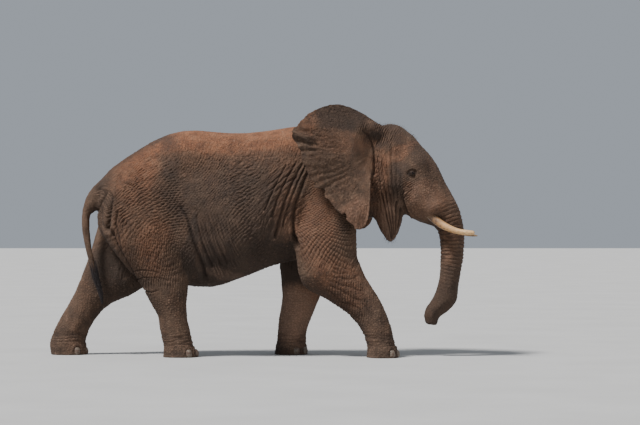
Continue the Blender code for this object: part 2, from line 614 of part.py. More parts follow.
def make_ear(name, side, collection):
    """The ear's middle sheet, given its thickness by Solidify: full at the root, thin at the edge."""
    bm = bmesh.new()
    grid = []
    for index in range(EAR_RAYS + 1):
        share = index / EAR_RAYS
        ray = [bm.verts.new(ear_point(share, step / EAR_STEPS, side)) for step in range(EAR_STEPS + 1)]
        grid.append(ray)
    for ray, following in zip(grid, grid[1:]):
        for step in range(EAR_STEPS):
            bm.faces.new((ray[step], ray[step + 1], following[step + 1], following[step]))
    obj = new_object("ear_" + name, bm, collection)
    group = obj.vertex_groups.new(name="thickness")
    for vertex in obj.data.vertices:
        along = (vertex.index % (EAR_STEPS + 1)) / EAR_STEPS
        group.add([vertex.index], 1.0 - along, "REPLACE")
    shell = obj.modifiers.new("thickness", "SOLIDIFY")
    shell.thickness = EAR_THICKNESS[0]
    shell.offset = 0.0
    shell.vertex_group = group.name
    shell.thickness_vertex_group = EAR_THICKNESS[1] / EAR_THICKNESS[0]
    apply_modifiers(obj)
    obj.vertex_groups.clear()
    return obj


def make_tuft(collection):
    """The hair of the tail's end, as one solid of its outer shape, which the tail runs into."""
    bm = bmesh.new()
    rows = [station_row(station, 0) for station in TAIL_TUFT]
    add_loft(bm, rows, ring_points=10, rings_per_span=2)
    return new_object("tail_tuft", bm, collection)


# ---------------------------------------------------------------- parting
def part_flesh(flesh, collection):
    """Split the cut flesh into its loose bodies, and name each by the point that it lies nearest."""
    bpy.ops.object.select_all(action="DESELECT")
    flesh.select_set(True)
    bpy.context.view_layer.objects.active = flesh
    bpy.ops.mesh.separate(type="LOOSE")
    pieces = list(bpy.context.selected_objects)
    named = {}
    for piece in pieces:
        corners = [Vector(corner) for corner in piece.bound_box]
        middle = sum(corners, Vector()) / len(corners)
        name = min(FLESH, key=lambda key: (Vector(FLESH[key]) - middle).length)
        piece.name = name
        named[name] = piece
    return named


def shade(obj, look):
    """Smooth shading with sharp cut edges, and the piece's own material."""
    obj.data.materials.clear()
    obj.data.materials.append(look)
    obj.data.shade_smooth()
    obj.data.set_sharp_from_angle(angle=SHARP_EDGE)


def stand_on_origin(parts):
    """Hang every piece on one empty, placed so that the origin is under the middle of the animal."""
    pieces = list(parts.objects)
    corners = [Vector(corner) for piece in pieces for corner in piece.bound_box]
    middle = [(min(axis) + max(axis)) / 2 for axis in zip(*corners)]
    stand = bpy.data.objects.new("stand_point", None)
    parts.objects.link(stand)
    stand.location = (-middle[0], -middle[1], 0.0)
    for piece in pieces:
        piece.parent = stand


def main():
    parts, cutters = clear_scene()
    tables = loft_tables()
    flesh = make_flesh(tables, parts)
    flesh_tree = BVHTree.FromObject(flesh, bpy.context.evaluated_depsgraph_get())

    eyes, tusks, ears, nails = [], [], [], []
    for name, side in SIDES:
        eyes.append(make_eye(name, side, flesh_tree, parts))
        tusks.append(make_tusk(name, side, parts))
        ears.append(make_ear(name, side, parts))
        for leg, bearings in (("foreleg", FORE_NAILS), ("hindleg", HIND_NAILS)):
            limb = f"{leg}_{name}"
            nails += make_nails(limb, tables[limb], bearings, flesh_tree, parts)

    tuft = make_tuft(parts)
    room_for_flesh = inflated(flesh, cutters)
    for piece in [*ears, tuft]:
        subtract(piece, [room_for_flesh])
    subtract(flesh, [inflated(piece, cutters) for piece in eyes + tusks + nails])
    subtract(flesh, make_cutters(tables, cutters))
    named = part_flesh(flesh, parts)

    hide = material("hide", (0.20, 0.13, 0.095), 0.85)
    ivory = material("ivory", (0.72, 0.60, 0.42), 0.45)
    horn = material("horn", (0.33, 0.27, 0.21), 0.6)
    glass = material("eye", (0.05, 0.025, 0.012), 0.1)
    hair = material("hair", (0.03, 0.025, 0.022), 0.6)
    for piece in [*named.values(), *ears]:
        shade(piece, hide)
    for piece in tusks:
        shade(piece, ivory)
    for piece in nails:
        shade(piece, horn)
    for piece in eyes:
        shade(piece, glass)
    shade(tuft, hair)
    for cutter in cutters.objects:
        cutter.hide_render = True
        cutter.display_type = "WIRE"
    stand_on_origin(parts)


main()
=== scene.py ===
"""The looks of the elephant: one skin over the nodes of flesh, eyes, tusks, toenails and hair.

The skin is the union of the flesh nodes and two finely drawn ears. It is smoothed, and its folds,
creases and net of wrinkles are pressed into the mesh. Its colours come from marks kept on the
mesh (dust, damp skin, bare pale skin, painted shade in the creases, under the belly and on the
far legs, and painted light on a few lit parts) and from procedural textures. Metres, in the row's frame.
"""

import math
from concurrent.futures import ThreadPoolExecutor
from itertools import product

import bmesh
import bpy
import numpy as np
from mathutils import Matrix, Vector
from mathutils.kdtree import KDTree


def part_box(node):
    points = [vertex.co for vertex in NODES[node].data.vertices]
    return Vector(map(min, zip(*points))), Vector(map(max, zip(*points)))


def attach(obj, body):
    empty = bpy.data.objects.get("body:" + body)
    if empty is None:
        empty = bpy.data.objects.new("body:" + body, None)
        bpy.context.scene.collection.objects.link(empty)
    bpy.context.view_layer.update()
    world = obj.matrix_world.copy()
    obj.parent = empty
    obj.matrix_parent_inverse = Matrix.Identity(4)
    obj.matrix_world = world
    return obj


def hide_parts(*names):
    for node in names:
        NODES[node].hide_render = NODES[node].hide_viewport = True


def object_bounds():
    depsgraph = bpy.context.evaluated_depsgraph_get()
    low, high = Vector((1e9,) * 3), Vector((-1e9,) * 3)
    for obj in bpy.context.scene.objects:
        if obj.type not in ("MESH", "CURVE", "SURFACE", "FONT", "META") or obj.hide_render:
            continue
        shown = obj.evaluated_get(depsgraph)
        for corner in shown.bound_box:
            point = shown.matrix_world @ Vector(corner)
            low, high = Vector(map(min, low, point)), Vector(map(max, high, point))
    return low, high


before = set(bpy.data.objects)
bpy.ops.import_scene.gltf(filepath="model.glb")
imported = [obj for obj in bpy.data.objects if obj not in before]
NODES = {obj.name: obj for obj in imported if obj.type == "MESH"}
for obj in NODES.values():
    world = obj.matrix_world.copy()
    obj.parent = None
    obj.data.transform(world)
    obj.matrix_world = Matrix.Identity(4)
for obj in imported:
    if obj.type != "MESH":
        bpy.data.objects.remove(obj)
CAD_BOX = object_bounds()

VOXEL = 0.0085      # grain of the skin's mesh
THREADS = 4
SLICE = 50000               # points worked on at a time
ROW_SHIFT = -0.005          # the row's frame lies this far along x from the animal's own

# ---------------------------------------------------------------- the animal's own frame
HEAD_TURN = math.radians(-7.0)
TURN_AXIS_X = 1.0
TURN_LENGTH = 0.6
SIDES = (("right", -1), ("left", 1))

EAR_OUTLINE = (
    (1.50, 2.90), (1.28, 3.015), (1.08, 3.10), (0.92, 3.13), (0.74, 3.095), (0.56, 2.995),
    (0.435, 2.87), (0.37, 2.73), (0.47, 2.54), (0.52, 2.36), (0.63, 2.14), (0.79, 1.96),
    (0.98, 1.76), (1.15, 1.60), (1.26, 1.585), (1.345, 1.69), (1.375, 1.95), (1.375, 2.22),
)
EAR_ROOT = ((1.49, 2.80), (1.40, 2.66), (1.375, 2.50), (1.375, 2.36))
EAR_ROOT_Y = 0.25
EAR_STEP = (0.135, 0.28)          # how far, and over what distance
EAR_FLARE = (0.24, 1.40, 0.95)    # how far, from where, and over what distance
EAR_FOLD = (0.12, 2.72, 0.42)
EAR_HANG = (0.13, 2.35, 0.65)
EAR_THICKNESS = (0.034, 0.015)    # at the root and at the edge
EAR_GRID = (420, 130)             # cells round the outline and out from the root
EAR_SAMPLING = 3                  # every third point of the sheet is enough to tell what lies near it

TUSK_PATH = (
    ((2.02, 0.175, 1.86), 0.047),
    ((2.16, 0.225, 1.70), 0.047),
    ((2.33, 0.285, 1.595), 0.042),
    ((2.50, 0.325, 1.535), 0.031),
    ((2.62, 0.338, 1.522), 0.018),
    ((2.675, 0.340, 1.522), 0.004),
)
# The middle of the trunk, from the brow down to its tip, as (x, z).
TRUNK_LINE = (
    (1.98, 2.30), (2.11, 2.08), (2.24, 1.90), (2.31, 1.74), (2.35, 1.63), (2.375, 1.50),
    (2.375, 1.345), (2.37, 1.185), (2.35, 1.03), (2.325, 0.88), (2.29, 0.737), (2.22, 0.63),
    (2.145, 0.552), (2.112, 0.478), (2.112, 0.392),
)


def eased(value):
    """0 below 0, 1 above 1, and smooth between them."""
    value = np.clip(value, 0.0, 1.0)
    return value * value * (3.0 - 2.0 * value)


def ramp(value, start, end):
    """Ease from 0 at the start to 1 at the end; the end may lie below the start."""
    return eased((value - start) / (end - start))


def spin(points, share):
    """Turn points about the upright line in the neck by shares of the head's turn."""
    cosine, sine = np.cos(HEAD_TURN * share), np.sin(HEAD_TURN * share)
    x, y = points[:, 0] - TURN_AXIS_X, points[:, 1]
    turned = points.copy()
    turned[:, 0] = TURN_AXIS_X + x * cosine - y * sine
    turned[:, 1] = x * sine + y * cosine
    return turned


def to_row(points):
    """From the straight animal to the row's frame, in which it looks a little to its right."""
    points = np.atleast_2d(np.asarray(points, float))
    turned = spin(points, ramp(points[:, 0], TURN_AXIS_X, TURN_AXIS_X + TURN_LENGTH))
    turned[:, 0] += ROW_SHIFT
    return turned


def to_straight(points):
    """From the row's frame to the straight animal."""
    moved = points.copy()
    moved[:, 0] -= ROW_SHIFT
    straight = moved
    for _ in range(3):
        share = ramp(straight[:, 0], TURN_AXIS_X, TURN_AXIS_X + TURN_LENGTH)
        straight = spin(moved, -share)
    return straight


# ---------------------------------------------------------------- noise
def lattice(cell, seed):
    """A random number from 0 to 1 for each whole cell, of two or three dimensions."""
    cell = cell.astype(np.int64).astype(np.uint32)
    h = np.full(len(cell), seed * 7919 + 13, np.uint32)
    for axis, factor in zip(range(cell.shape[1]), (0x8DA6B343, 0xD8163841, 0xCB1AB31F)):
        h += cell[:, axis] * np.uint32(factor)
    for shift, factor in ((15, 0x2C1B3C6D), (12, 0x297A2D39)):
        h ^= h >> np.uint32(shift)
        h *= np.uint32(factor)
    h ^= h >> np.uint32(15)
    return h.astype(np.float32) / np.float32(2 ** 32)


def in_slices(work, points):
    """Run the work on slices of the points at once, and join what it returns."""
    parts = [points[start:start + SLICE] for start in range(0, len(points), SLICE)]
    with ThreadPoolExecutor(THREADS) as pool:
        return np.concatenate(list(pool.map(work, parts)))


def noise(points, scale, seed):
    """Smooth noise from -1 to 1 whose lumps are about as large as the scale."""
    def work(part):
        place = part / scale
        cell = np.floor(place)
        share = eased(place - cell).astype(np.float32)
        total = np.zeros(len(part), np.float32)
        for corner in product((0, 1), repeat=3):
            weight = np.ones(len(part), np.float32)
            for axis in range(3):
                weight *= share[:, axis] if corner[axis] else 1 - share[:, axis]
            total += weight * lattice(cell + corner, seed)
        return total * 2 - 1
    return in_slices(work, points)


def layered(points, scale, seed, layers=3):
    """Noise with finer and weaker noise over it."""
    total = sum(noise(points, scale / 2 ** i, seed + i) / 2 ** i for i in range(layers))
    return total / (2 - 0.5 ** (layers - 1))


def net(seed, *axes, jitter=1.0):
    """Cells of size 1, whose centres stray from a grid: how far the nearest border lies, 0 on it."""
    points = np.stack(axes, axis=1)
    dimensions = points.shape[1]

    def work(part):
        base = np.floor(part)
        near = np.full(len(part), 9.0, np.float32)
        second = near.copy()
        for step in product((-1, 0, 1), repeat=dimensions):
            cell = base + step
            stray = np.stack([lattice(cell, seed + axis) for axis in range(dimensions)], axis=1)
            centre = cell + 0.5 + jitter * (stray - 0.5)
            distance = np.linalg.norm(part - centre, axis=1).astype(np.float32)
            second = np.where(distance < near, near, np.minimum(second, distance))
            near = np.minimum(near, distance)
        return second - near
    return in_slices(work, points)


# ---------------------------------------------------------------- ears
def line_at(points, share):
    """Smooth (Catmull-Rom) points along a line, by shares of its count of points."""
    points = np.asarray(points, float)
    padded = np.vstack([2 * points[0] - points[1], points, 2 * points[-1] - points[-2]])
    place = share * (len(points) - 1)
    span = np.minimum(place.astype(int), len(points) - 2)
    t = (place - span)[:, None]
    before, start, end, after = (padded[span + i] for i in range(4))
    linear = end - before
    square = 2 * before - 5 * start + 4 * end - after
    cube = 3 * start - before - 3 * end + after
    return start + 0.5 * t * (linear + t * (square + t * cube))


# Notches in the ear's rear edge, a little shifted on the left one: place round the outline, half width and depth of each.
EAR_NOTCHES = ((0.470, 0.007, 0.020), (0.583, 0.005, 0.045), (0.622, 0.011, 0.070), (0.716, 0.007, 0.050))
EAR_FAN = 15                      # folds that fan out to the rear edge
# The rolled upper rear corner: place round the outline, height, half width, and where it starts.
EAR_ROLLS = ((0.372, -0.010, 0.010, 0.55), (0.400, 0.020, 0.014, 0.62), (0.428, -0.026, 0.009, 0.66),
             (0.446, 0.012, 0.009, 0.70), (0.465, -0.014, 0.007, 0.62))


def ear_sheet(side):
    """The grid of the ear's middle sheet, in the row's frame, and how thick it is."""
    share, along = np.meshgrid(
        np.linspace(0, 1, EAR_GRID[0] + 1), np.linspace(0, 1, EAR_GRID[1] + 1), indexing="ij")
    share, along = share.ravel(), along.ravel()
    reach = np.zeros_like(along)
    for place, half, depth in EAR_NOTCHES:
        reach -= depth * np.exp(-((share + 0.03 * (side > 0) - place) / half) ** 2)
    reach -= 0.008 * np.sin(share * 61) + 0.006 * np.sin(share * 143 + 1) + 0.004 * np.sin(share * 301)
    reach *= np.where((share > 0.30) & (share < 0.80), 1.0, 0.3)
    root, edge = line_at(EAR_ROOT, share), line_at(EAR_OUTLINE, share)
    place = root + (edge - root) * (along * (1 + reach))[:, None]
    x, z = place.T
    span = along * np.hypot(*(edge - root).T)
    y = EAR_ROOT_Y + EAR_STEP[0] * eased(span / EAR_STEP[1])
    y += EAR_FLARE[0] * eased((EAR_FLARE[1] - x) / EAR_FLARE[2])
    y -= EAR_FOLD[0] * eased((z - EAR_FOLD[1]) / EAR_FOLD[2])
    y += EAR_HANG[0] * eased((EAR_HANG[1] - z) / EAR_HANG[2])
    # The upper front end sinks into the crown.
    y -= 0.11 * ramp(share, 0.15, 0.0)
    # Folds that fan out to the rear edge and bend as they go.
    fan = ramp(share, 0.40, 0.50) * ramp(share, 0.78, 0.68)
    wander = 0.018 * np.sin(along * 3.3 + 2 * side) + 0.003 * np.sin(along * 19 + share * 40)
    phase = (share + wander) * EAR_FAN / 0.38
    strength = 0.6 + 0.4 * np.sin(share * 37 + 2 * side)
    ridge = np.exp(-(np.abs(phase - np.round(phase)) / 0.24) ** 2)
    y += fan * strength * 0.015 * ramp(along, 0.30, 0.80) * (0.35 - ridge)
    phase = (share - 0.5 * wander) * EAR_FAN * 2.6 / 0.38
    ridge = np.exp(-(np.abs(phase - np.round(phase)) / 0.28) ** 2)
    y -= fan * 0.005 * ramp(along, 0.60, 0.90) * ridge
    # The left ear, which the photograph doesn't show, is rolled less.
    rolled = 1.0 if side < 0 else 0.35
    for line, rise, half, start in EAR_ROLLS:
        bend = line + 0.06 * (1 - along) + 0.006 * np.sin(along * 25 + line * 60)
        y += rolled * rise * np.exp(-((share - bend) / half) ** 2) * ramp(along, start, start + 0.25)
    y += 0.022 * np.sin(share * 29 + 1.2 * side) * ramp(along, 0.45, 1.0) * ramp(share, 0.2, 0.4)
    front = ramp(share, 0.84, 0.90)
    y += front * (0.014 * ramp(along, 0.84, 0.97) - 0.016 * np.exp(-((along - 0.74) / 0.12) ** 2))
    thick = EAR_THICKNESS[1] + (EAR_THICKNESS[0] - EAR_THICKNESS[1]) * (1 - along) ** 1.5
    grid = to_row(np.stack([x, side * y, z], axis=1))
    shape = (EAR_GRID[0] + 1, EAR_GRID[1] + 1)
    return grid.reshape(*shape, 3), thick.reshape(shape), share.reshape(shape), along.reshape(shape)


def closed_sheet(name, grid, thick):
    """A closed mesh: the sheet with half its thickness on either side."""
    normal = np.cross(np.gradient(grid, axis=0), np.gradient(grid, axis=1))
    normal /= np.maximum(np.linalg.norm(normal, axis=2, keepdims=True), 1e-9)
    rows, columns = thick.shape
    front = (grid + normal * thick[..., None] / 2).reshape(-1, 3)
    back = (grid - normal * thick[..., None] / 2).reshape(-1, 3)
    index = np.arange(rows * columns).reshape(rows, columns)
    quads = np.stack([index[:-1, :-1], index[1:, :-1], index[1:, 1:], index[:-1, 1:]], axis=-1)
    quads = quads.reshape(-1, 4)
    rim = np.concatenate([index[:, 0], index[-1, 1:], index[::-1, -1][1:], index[0, ::-1][1:-1]])
    after = np.roll(rim, -1)
    count = rows * columns
    strip = np.stack([rim, after, after + count, rim + count], axis=1)
    return mesh_object(name, np.vstack([front, back]), np.vstack([quads, quads[:, ::-1] + count, strip]))


def mesh_object(name, points, faces):
    """A mesh object in the scene from arrays of points and faces, all with as many corners."""
    mesh = bpy.data.meshes.new(name)
    sides = faces.shape[1]
    mesh.vertices.add(len(points))
    mesh.vertices.foreach_set("co", np.asarray(points, np.float32).ravel())
    mesh.loops.add(faces.size)
    mesh.loops.foreach_set("vertex_index", faces.astype(np.int32).ravel())
    mesh.polygons.add(len(faces))
    mesh.polygons.foreach_set("loop_start", np.arange(0, faces.size, sides, dtype=np.int32))
    mesh.update(calc_edges=True)
    mesh.validate()
    obj = bpy.data.objects.new(name, mesh)
    bpy.context.scene.collection.objects.link(obj)
    return obj


# ---------------------------------------------------------------- the skin's mesh
# Flesh between the crown and the ear's upper root: centre, radii, lean and slant towards the middle.
EAR_BASE = ((1.455, 0.205, 2.790), (0.235, 0.090, 0.105), 26.0, 20.0)


def flesh_names():
    apart = ("ear_", "eye_", "tusk_", "tail_tuft")
    return [name for name in NODES if not name.startswith(apart) and "_nail_" not in name]


def applied(obj):
    """Give the object the mesh that its modifiers make of it."""
    bpy.context.view_layer.update()
    graph = bpy.context.evaluated_depsgraph_get()
    mesh = bpy.data.meshes.new_from_object(obj.evaluated_get(graph))
    obj.modifiers.clear()
    obj.data = mesh


def joined_flesh(sheets):
    """One closed mesh over the flesh, the filled eye sockets and the ears."""
    bm = bmesh.new()
    for name in flesh_names() + ["eye_right", "eye_left"]:
        bm.from_mesh(NODES[name].data)
    for sheet in sheets:
        bm.from_mesh(sheet.data)
        bpy.data.objects.remove(sheet)
    for _, side in SIDES:
        centre, radii, lean, slant = EAR_BASE
        place = Vector(to_row((centre[0], side * centre[1], centre[2]))[0])
        turn = Matrix.Rotation(-math.radians(side * slant) + 0.6 * HEAD_TURN, 4, "Z")
        shape = Matrix.Translation(place) @ turn @ Matrix.Rotation(math.radians(lean), 4, "Y")
        shape = shape @ Matrix.Diagonal((*radii, 1.0))
        bmesh.ops.create_icosphere(bm, subdivisions=4, radius=1.0, matrix=shape)
    mesh = bpy.data.meshes.new("hide")
    bm.to_mesh(mesh)
    bm.free()
    obj = bpy.data.objects.new("hide", mesh)
    bpy.context.scene.collection.objects.link(obj)
    union = obj.modifiers.new("union", "REMESH")
    union.mode = "VOXEL"
    union.voxel_size = VOXEL
    applied(obj)
    return obj


def points_of(mesh):
    points = np.empty(len(mesh.vertices) * 3, np.float32)
    mesh.vertices.foreach_get("co", points)
    return points.reshape(-1, 3).astype(float)


def normals_of(mesh):
    normals = np.empty(len(mesh.vertices) * 3, np.float32)
    mesh.vertex_normals.foreach_get("vector", normals)
    return normals.reshape(-1, 3).astype(float)


class Web:
    """Which vertices each vertex is joined to, for smoothing."""

    def __init__(self, mesh):
        ends = np.empty(len(mesh.edges) * 2, np.int32)
        mesh.edges.foreach_get("vertices", ends)
        ends = ends.reshape(-1, 2)
        both = np.vstack([ends, ends[:, ::-1]])
        both = both[np.argsort(both[:, 0], kind="stable")]
        self.others = both[:, 1]
        self.counts = np.bincount(both[:, 0], minlength=len(mesh.vertices))[:, None]
        self.starts = np.concatenate([[0], np.cumsum(self.counts[:-1, 0])])

    def relaxed(self, values, weight, rounds):
        values = values.astype(np.float32)
        weight = weight.astype(np.float32)
        counts = self.counts.astype(np.float32)
        for _ in range(rounds):
            mean = np.add.reduceat(values[self.others], self.starts, axis=0) / counts
            values = values + weight * (mean - values)
        return values.astype(float)


def near_ear(points, sheets):
    """How close each point lies to an ear's sheet, and its place on that sheet."""
    gap = np.full(len(points), 1.0)
    share, along = np.zeros(len(points)), np.zeros(len(points))
    for grid, _, shares, alongs in sheets:
        flat = grid[::EAR_SAMPLING, ::EAR_SAMPLING].reshape(-1, 3)
        tree = KDTree(len(flat))
        for i, place in enumerate(flat):
            tree.insert(place, i)
        tree.balance()
        low, high = flat.min(0) - 0.06, flat.max(0) + 0.06
        inside = np.nonzero(((points > low) & (points < high)).all(1))[0]
        found = [tree.find(points[i])[1:] for i in inside]
        index = np.array([f[0] for f in found])
        distance = np.array([f[1] for f in found])
        better = distance < gap[inside]
        chosen = inside[better]
        gap[chosen] = distance[better]
        share[chosen] = shares[::EAR_SAMPLING, ::EAR_SAMPLING].ravel()[index[better]]
        along[chosen] = alongs[::EAR_SAMPLING, ::EAR_SAMPLING].ravel()[index[better]]
    return gap, share, along


def polyline(points, line):
    """Distance of flat points from a bent line, and the share of its length where they lie nearest."""
    line = np.asarray(line, float)
    lengths = np.linalg.norm(np.diff(line, axis=0), axis=1)
    before = np.concatenate([[0], np.cumsum(lengths)])
    best = np.full(len(points), 9.0)
    share = np.zeros(len(points))
    for i, length in enumerate(lengths):
        way = (line[i + 1] - line[i]) / length
        t = np.clip((points - line[i]) @ way, 0, length)
        distance = np.linalg.norm(points - line[i] - t[:, None] * way, axis=1)
        closer = distance < best
        best = np.where(closer, distance, best)
        share = np.where(closer, (before[i] + t) / before[-1], share)
    return best, share


def zone(points, x, z, across, up, lean=0.0):
    """1 in the middle of a leaning ellipse of the side view, easing to 0 at its outline."""
    cosine, sine = math.cos(math.radians(lean)), math.sin(math.radians(lean))
    dx, dz = points[:, 0] - x, points[:, 2] - z
    u, v = dx * cosine + dz * sine, dz * cosine - dx * sine
    return 1.0 - eased((np.hypot(u / across, v / up) - 0.45) / 0.55)


def lines(phase, half):
    """1 on each whole number of the phase, easing to 0 at half a line's width."""
    return np.exp(-(np.abs(phase - np.round(phase)) / half) ** 2)


# Single folds on both sides of the animal: (x, z) points, half width, depth at either end.
STROKES = (
    # Corner of the mouth, up between jaw and cheek to under the eye.
    (((1.835, 1.75), (1.80, 1.83), (1.765, 1.92), (1.765, 2.00), (1.80, 2.07)), 0.016, 0.056, 0.004),
    (((1.785, 1.965), (1.84, 2.03), (1.92, 2.08)), 0.008, 0.010, 0.003),
    (((1.745, 1.94), (1.745, 2.02), (1.785, 2.10), (1.85, 2.155)), 0.009, 0.010, 0.003),
    # Wrinkles of the jaw.
    (((1.520, 2.02), (1.545, 1.84), (1.585, 1.64), (1.615, 1.47)), 0.012, 0.012, 0.016),
    (((1.570, 2.04), (1.590, 1.86), (1.615, 1.68), (1.632, 1.46)), 0.011, 0.012, 0.018),
    (((1.625, 2.00), (1.635, 1.82), (1.648, 1.64), (1.650, 1.47)), 0.011, 0.010, 0.018),
    (((1.690, 1.92), (1.688, 1.78), (1.682, 1.62), (1.668, 1.48)), 0.012, 0.012, 0.016),
    (((1.740, 1.84), (1.728, 1.72), (1.708, 1.60)), 0.011, 0.012, 0.012),
    # Between thigh and flank, and the folds ahead of it.
    (((-1.00, 1.86), (-0.91, 1.70), (-0.82, 1.42), (-0.72, 1.12), (-0.70, 0.98)), 0.030, 0.010, 0.042),
    (((-0.80, 1.75), (-0.72, 1.42), (-0.60, 1.12)), 0.013, 0.005, 0.016),
    (((-0.70, 1.72), (-0.62, 1.42), (-0.50, 1.14)), 0.012, 0.005, 0.014),
    (((-0.60, 1.66), (-0.52, 1.40), (-0.42, 1.16)), 0.011, 0.004, 0.012),
    # Rear of the rump: the deep upright fold, and the fold that runs down behind the thigh.
    (((-1.855, 1.98), (-1.868, 1.88), (-1.885, 1.76), (-1.900, 1.68), (-1.915, 1.585)), 0.030, 0.012, 0.062),
    (((-1.955, 1.600), (-1.91, 1.580), (-1.865, 1.550), (-1.84, 1.50)), 0.014, 0.006, 0.024),
    (((-1.93, 2.05), (-1.98, 1.94), (-2.05, 1.83), (-2.09, 1.76)), 0.018, 0.010, 0.030),
    (((-1.985, 1.86), (-1.975, 1.74), (-1.96, 1.62)), 0.014, 0.008, 0.014),
    (((-1.84, 1.56), (-1.80, 1.42), (-1.70, 1.22), (-1.60, 1.05), (-1.54, 0.92)), 0.018, 0.026, 0.008),
    (((-1.77, 1.80), (-1.80, 1.66), (-1.76, 1.50), (-1.73, 1.34)), 0.012, 0.018, 0.008),
    (((-1.69, 1.70), (-1.72, 1.58), (-1.69, 1.44)), 0.010, 0.010, 0.004),
    # Creases of the knee.
    (((-1.61, 1.045), (-1.50, 1.075), (-1.34, 1.065), (-1.16, 1.03)), 0.009, 0.012, 0.003),
    (((-1.58, 0.94), (-1.46, 0.985), (-1.32, 0.985), (-1.16, 0.96)), 0.008, 0.012, 0.003),
    (((-1.46, 0.82), (-1.36, 0.80), (-1.27, 0.825)), 0.009, 0.012, 0.005),
    # Behind the shoulder and the elbow.
    (((0.60, 2.36), (0.50, 2.12), (0.43, 1.92), (0.395, 1.72), (0.40, 1.52), (0.45, 1.36)), 0.018, 0.006, 0.050),
    (((0.50, 2.40), (0.385, 2.16), (0.29, 1.92), (0.225, 1.70), (0.17, 1.50)), 0.015, 0.012, 0.030),
    (((0.56, 2.42), (0.45, 2.17), (0.36, 1.95), (0.30, 1.76), (0.265, 1.62)), 0.011, 0.010, 0.018),
    (((0.42, 2.42), (0.31, 2.20), (0.205, 1.96), (0.13, 1.74)), 0.012, 0.012, 0.018),
    (((0.30, 2.38), (0.19, 2.16), (0.105, 1.96), (0.05, 1.82)), 0.011, 0.010, 0.014),
)
# The gap between tail and rump.
TAIL_GAP = ((-1.94, 2.02), (-1.98, 1.95), (-2.03, 1.85), (-2.07, 1.76))
# The crease where the ear's front edge folds out of the head.
EAR_CREASE = ((1.27, 2.800), (1.335, 2.745), (1.385, 2.66), (1.405, 2.55), (1.412, 2.40), (1.412, 2.26))


def eye_frame(name, side):
    """The middle of an eyeball, and the outward, forward and upward directions there."""
    low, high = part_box("eye_" + name)
    centre = np.array((low + high) / 2)
    turn = Matrix.Rotation(HEAD_TURN, 3, "Z")
    outward = turn @ Vector((0.16, side, 0.0)).normalized()
    forward = turn @ Vector((1.0, -0.16 * side, 0.0)).normalized()
    return centre, np.array(outward), np.array(forward), np.array((0.0, 0.0, 1.0))


def smoothing(straight, ear):
    """How strongly each vertex is smoothed: well on the body, little on thin parts."""
    x, z = straight[:, 0], straight[:, 2]
    weight = np.full(len(x), 0.75)
    weight -= 0.35 * ramp(z, 1.05, 0.75) * ramp(x, 1.95, 1.85)
    weight -= 0.30 * ramp(x, 1.35, 1.6)
    weight -= 0.10 * ramp(x, 1.9, 2.0) * ramp(z, 1.75, 1.45)
    tail = ramp(x, -2.02, -2.12) * ramp(z, 0.9, 1.0)
    jaw = ramp(z, 1.62, 1.5) * ramp(x, 1.4, 1.5) * ramp(x, 1.9, 1.8)
    tip = ramp(x, 1.9, 2.0) * ramp(z, 0.60, 0.50)
    weight *= 1 - 0.9 * np.maximum.reduce([tail, jaw * 0.8, tip * 0.20])
    weight *= 1 - 0.97 * ramp(ear, 0.055, 0.030)
    weight = np.maximum(weight, 0.85 * zone(straight, 1.44, 2.80, 0.36, 0.27))
    weight *= 0.02 + 0.98 * ramp(z, 0.0, 0.07)
    return weight


def smooth_skin(obj, sheets):
    """Take the facets out of the skin without shrinking it."""
    web = Web(obj.data)
    points = points_of(obj.data)
    gap, _, _ = near_ear(points, sheets)
    weight = smoothing(to_straight(points), gap)[:, None]
    scale = 0.0085 / VOXEL
    rounds = int(70 * scale ** 2)
    once = web.relaxed(points, weight, rounds)
    back = web.relaxed(points - once, weight, rounds)
    smooth = web.relaxed(once + back, np.full_like(weight, 0.4), 3)
    smooth[:, 2] = np.maximum(smooth[:, 2], 0.0)
    obj.data.vertices.foreach_set("co", smooth.astype(np.float32).ravel())
    obj.data.update()


def refine(obj, test):
    """Halve the edges of the faces whose middles pass the test."""
    bm = bmesh.new()
    bm.from_mesh(obj.data)
    middles = np.array([vertex.co for vertex in bm.verts])
    chosen = test(middles)
    edges = [e for e in bm.edges if chosen[e.verts[0].index] and chosen[e.verts[1].index]]
    bmesh.ops.subdivide_edges(bm, edges=edges, cuts=1, use_grid_fill=True)
    bm.to_mesh(obj.data)
    bm.free()
    obj.data.update()


class Relief:
    """Heights pressed into the skin, and how deep each point lies in a crease, which is painted as shade."""

    def __init__(self, count):
        self.height = np.zeros(count)
        self.crease_shade = np.zeros(count)

    def press(self, valley, depth, mask):
        """Press valleys (1 at the bottom, 0 outside) of a depth where the mask says."""
        deep = valley * mask
        self.height -= deep * depth
        self.crease_shade = np.maximum(self.crease_shade, deep ** 1.5 * np.clip(np.asarray(depth) / 0.0085, 0.2, 1.0))

    def cushions(self, seed, axes, depth, mask, width=0.55, jitter=1.0):
        """Press the borders of a net in, so that its cells stand up as cushions."""
        shown = np.nonzero(mask > 0.004)[0]
        if len(shown):
            border = net(seed, *(axis[shown] for axis in axes), jitter=jitter)
            valley = np.zeros(len(mask))
            valley[shown] = 1.0 - eased(border / width)
            self.press(valley, depth, mask)

    def folds(self, phase, depth, mask, sharp=0.8):
        """Press in a fold on each whole number of the phase, round on top and narrow below."""
        self.press(1.0 - np.abs(np.sin(math.pi * phase)) ** sharp, depth, mask)


def around(straight):
    """Unrolled coordinates of the body: along it and round the rump, and up its side and over the back."""
    x, y, z = straight.T
    up = 1.9 + 0.80 * np.arctan2(z - 1.9, np.maximum(np.abs(y), 0.05))
    behind = np.arctan2(np.maximum(-1.5 - x, 0.0), np.maximum(np.abs(y), 0.02))
    along = np.where(x < -1.5, -1.5 - 0.55 * behind, x)
    return along, up


# Each side of the animal has its own pattern: the unrolled coordinate of the left one is this much larger.
SIDE_STEP = 3.1
KNEE = (-0.93, 1.00)          # the arcs of folds on the rump run about this point, as (x, z)


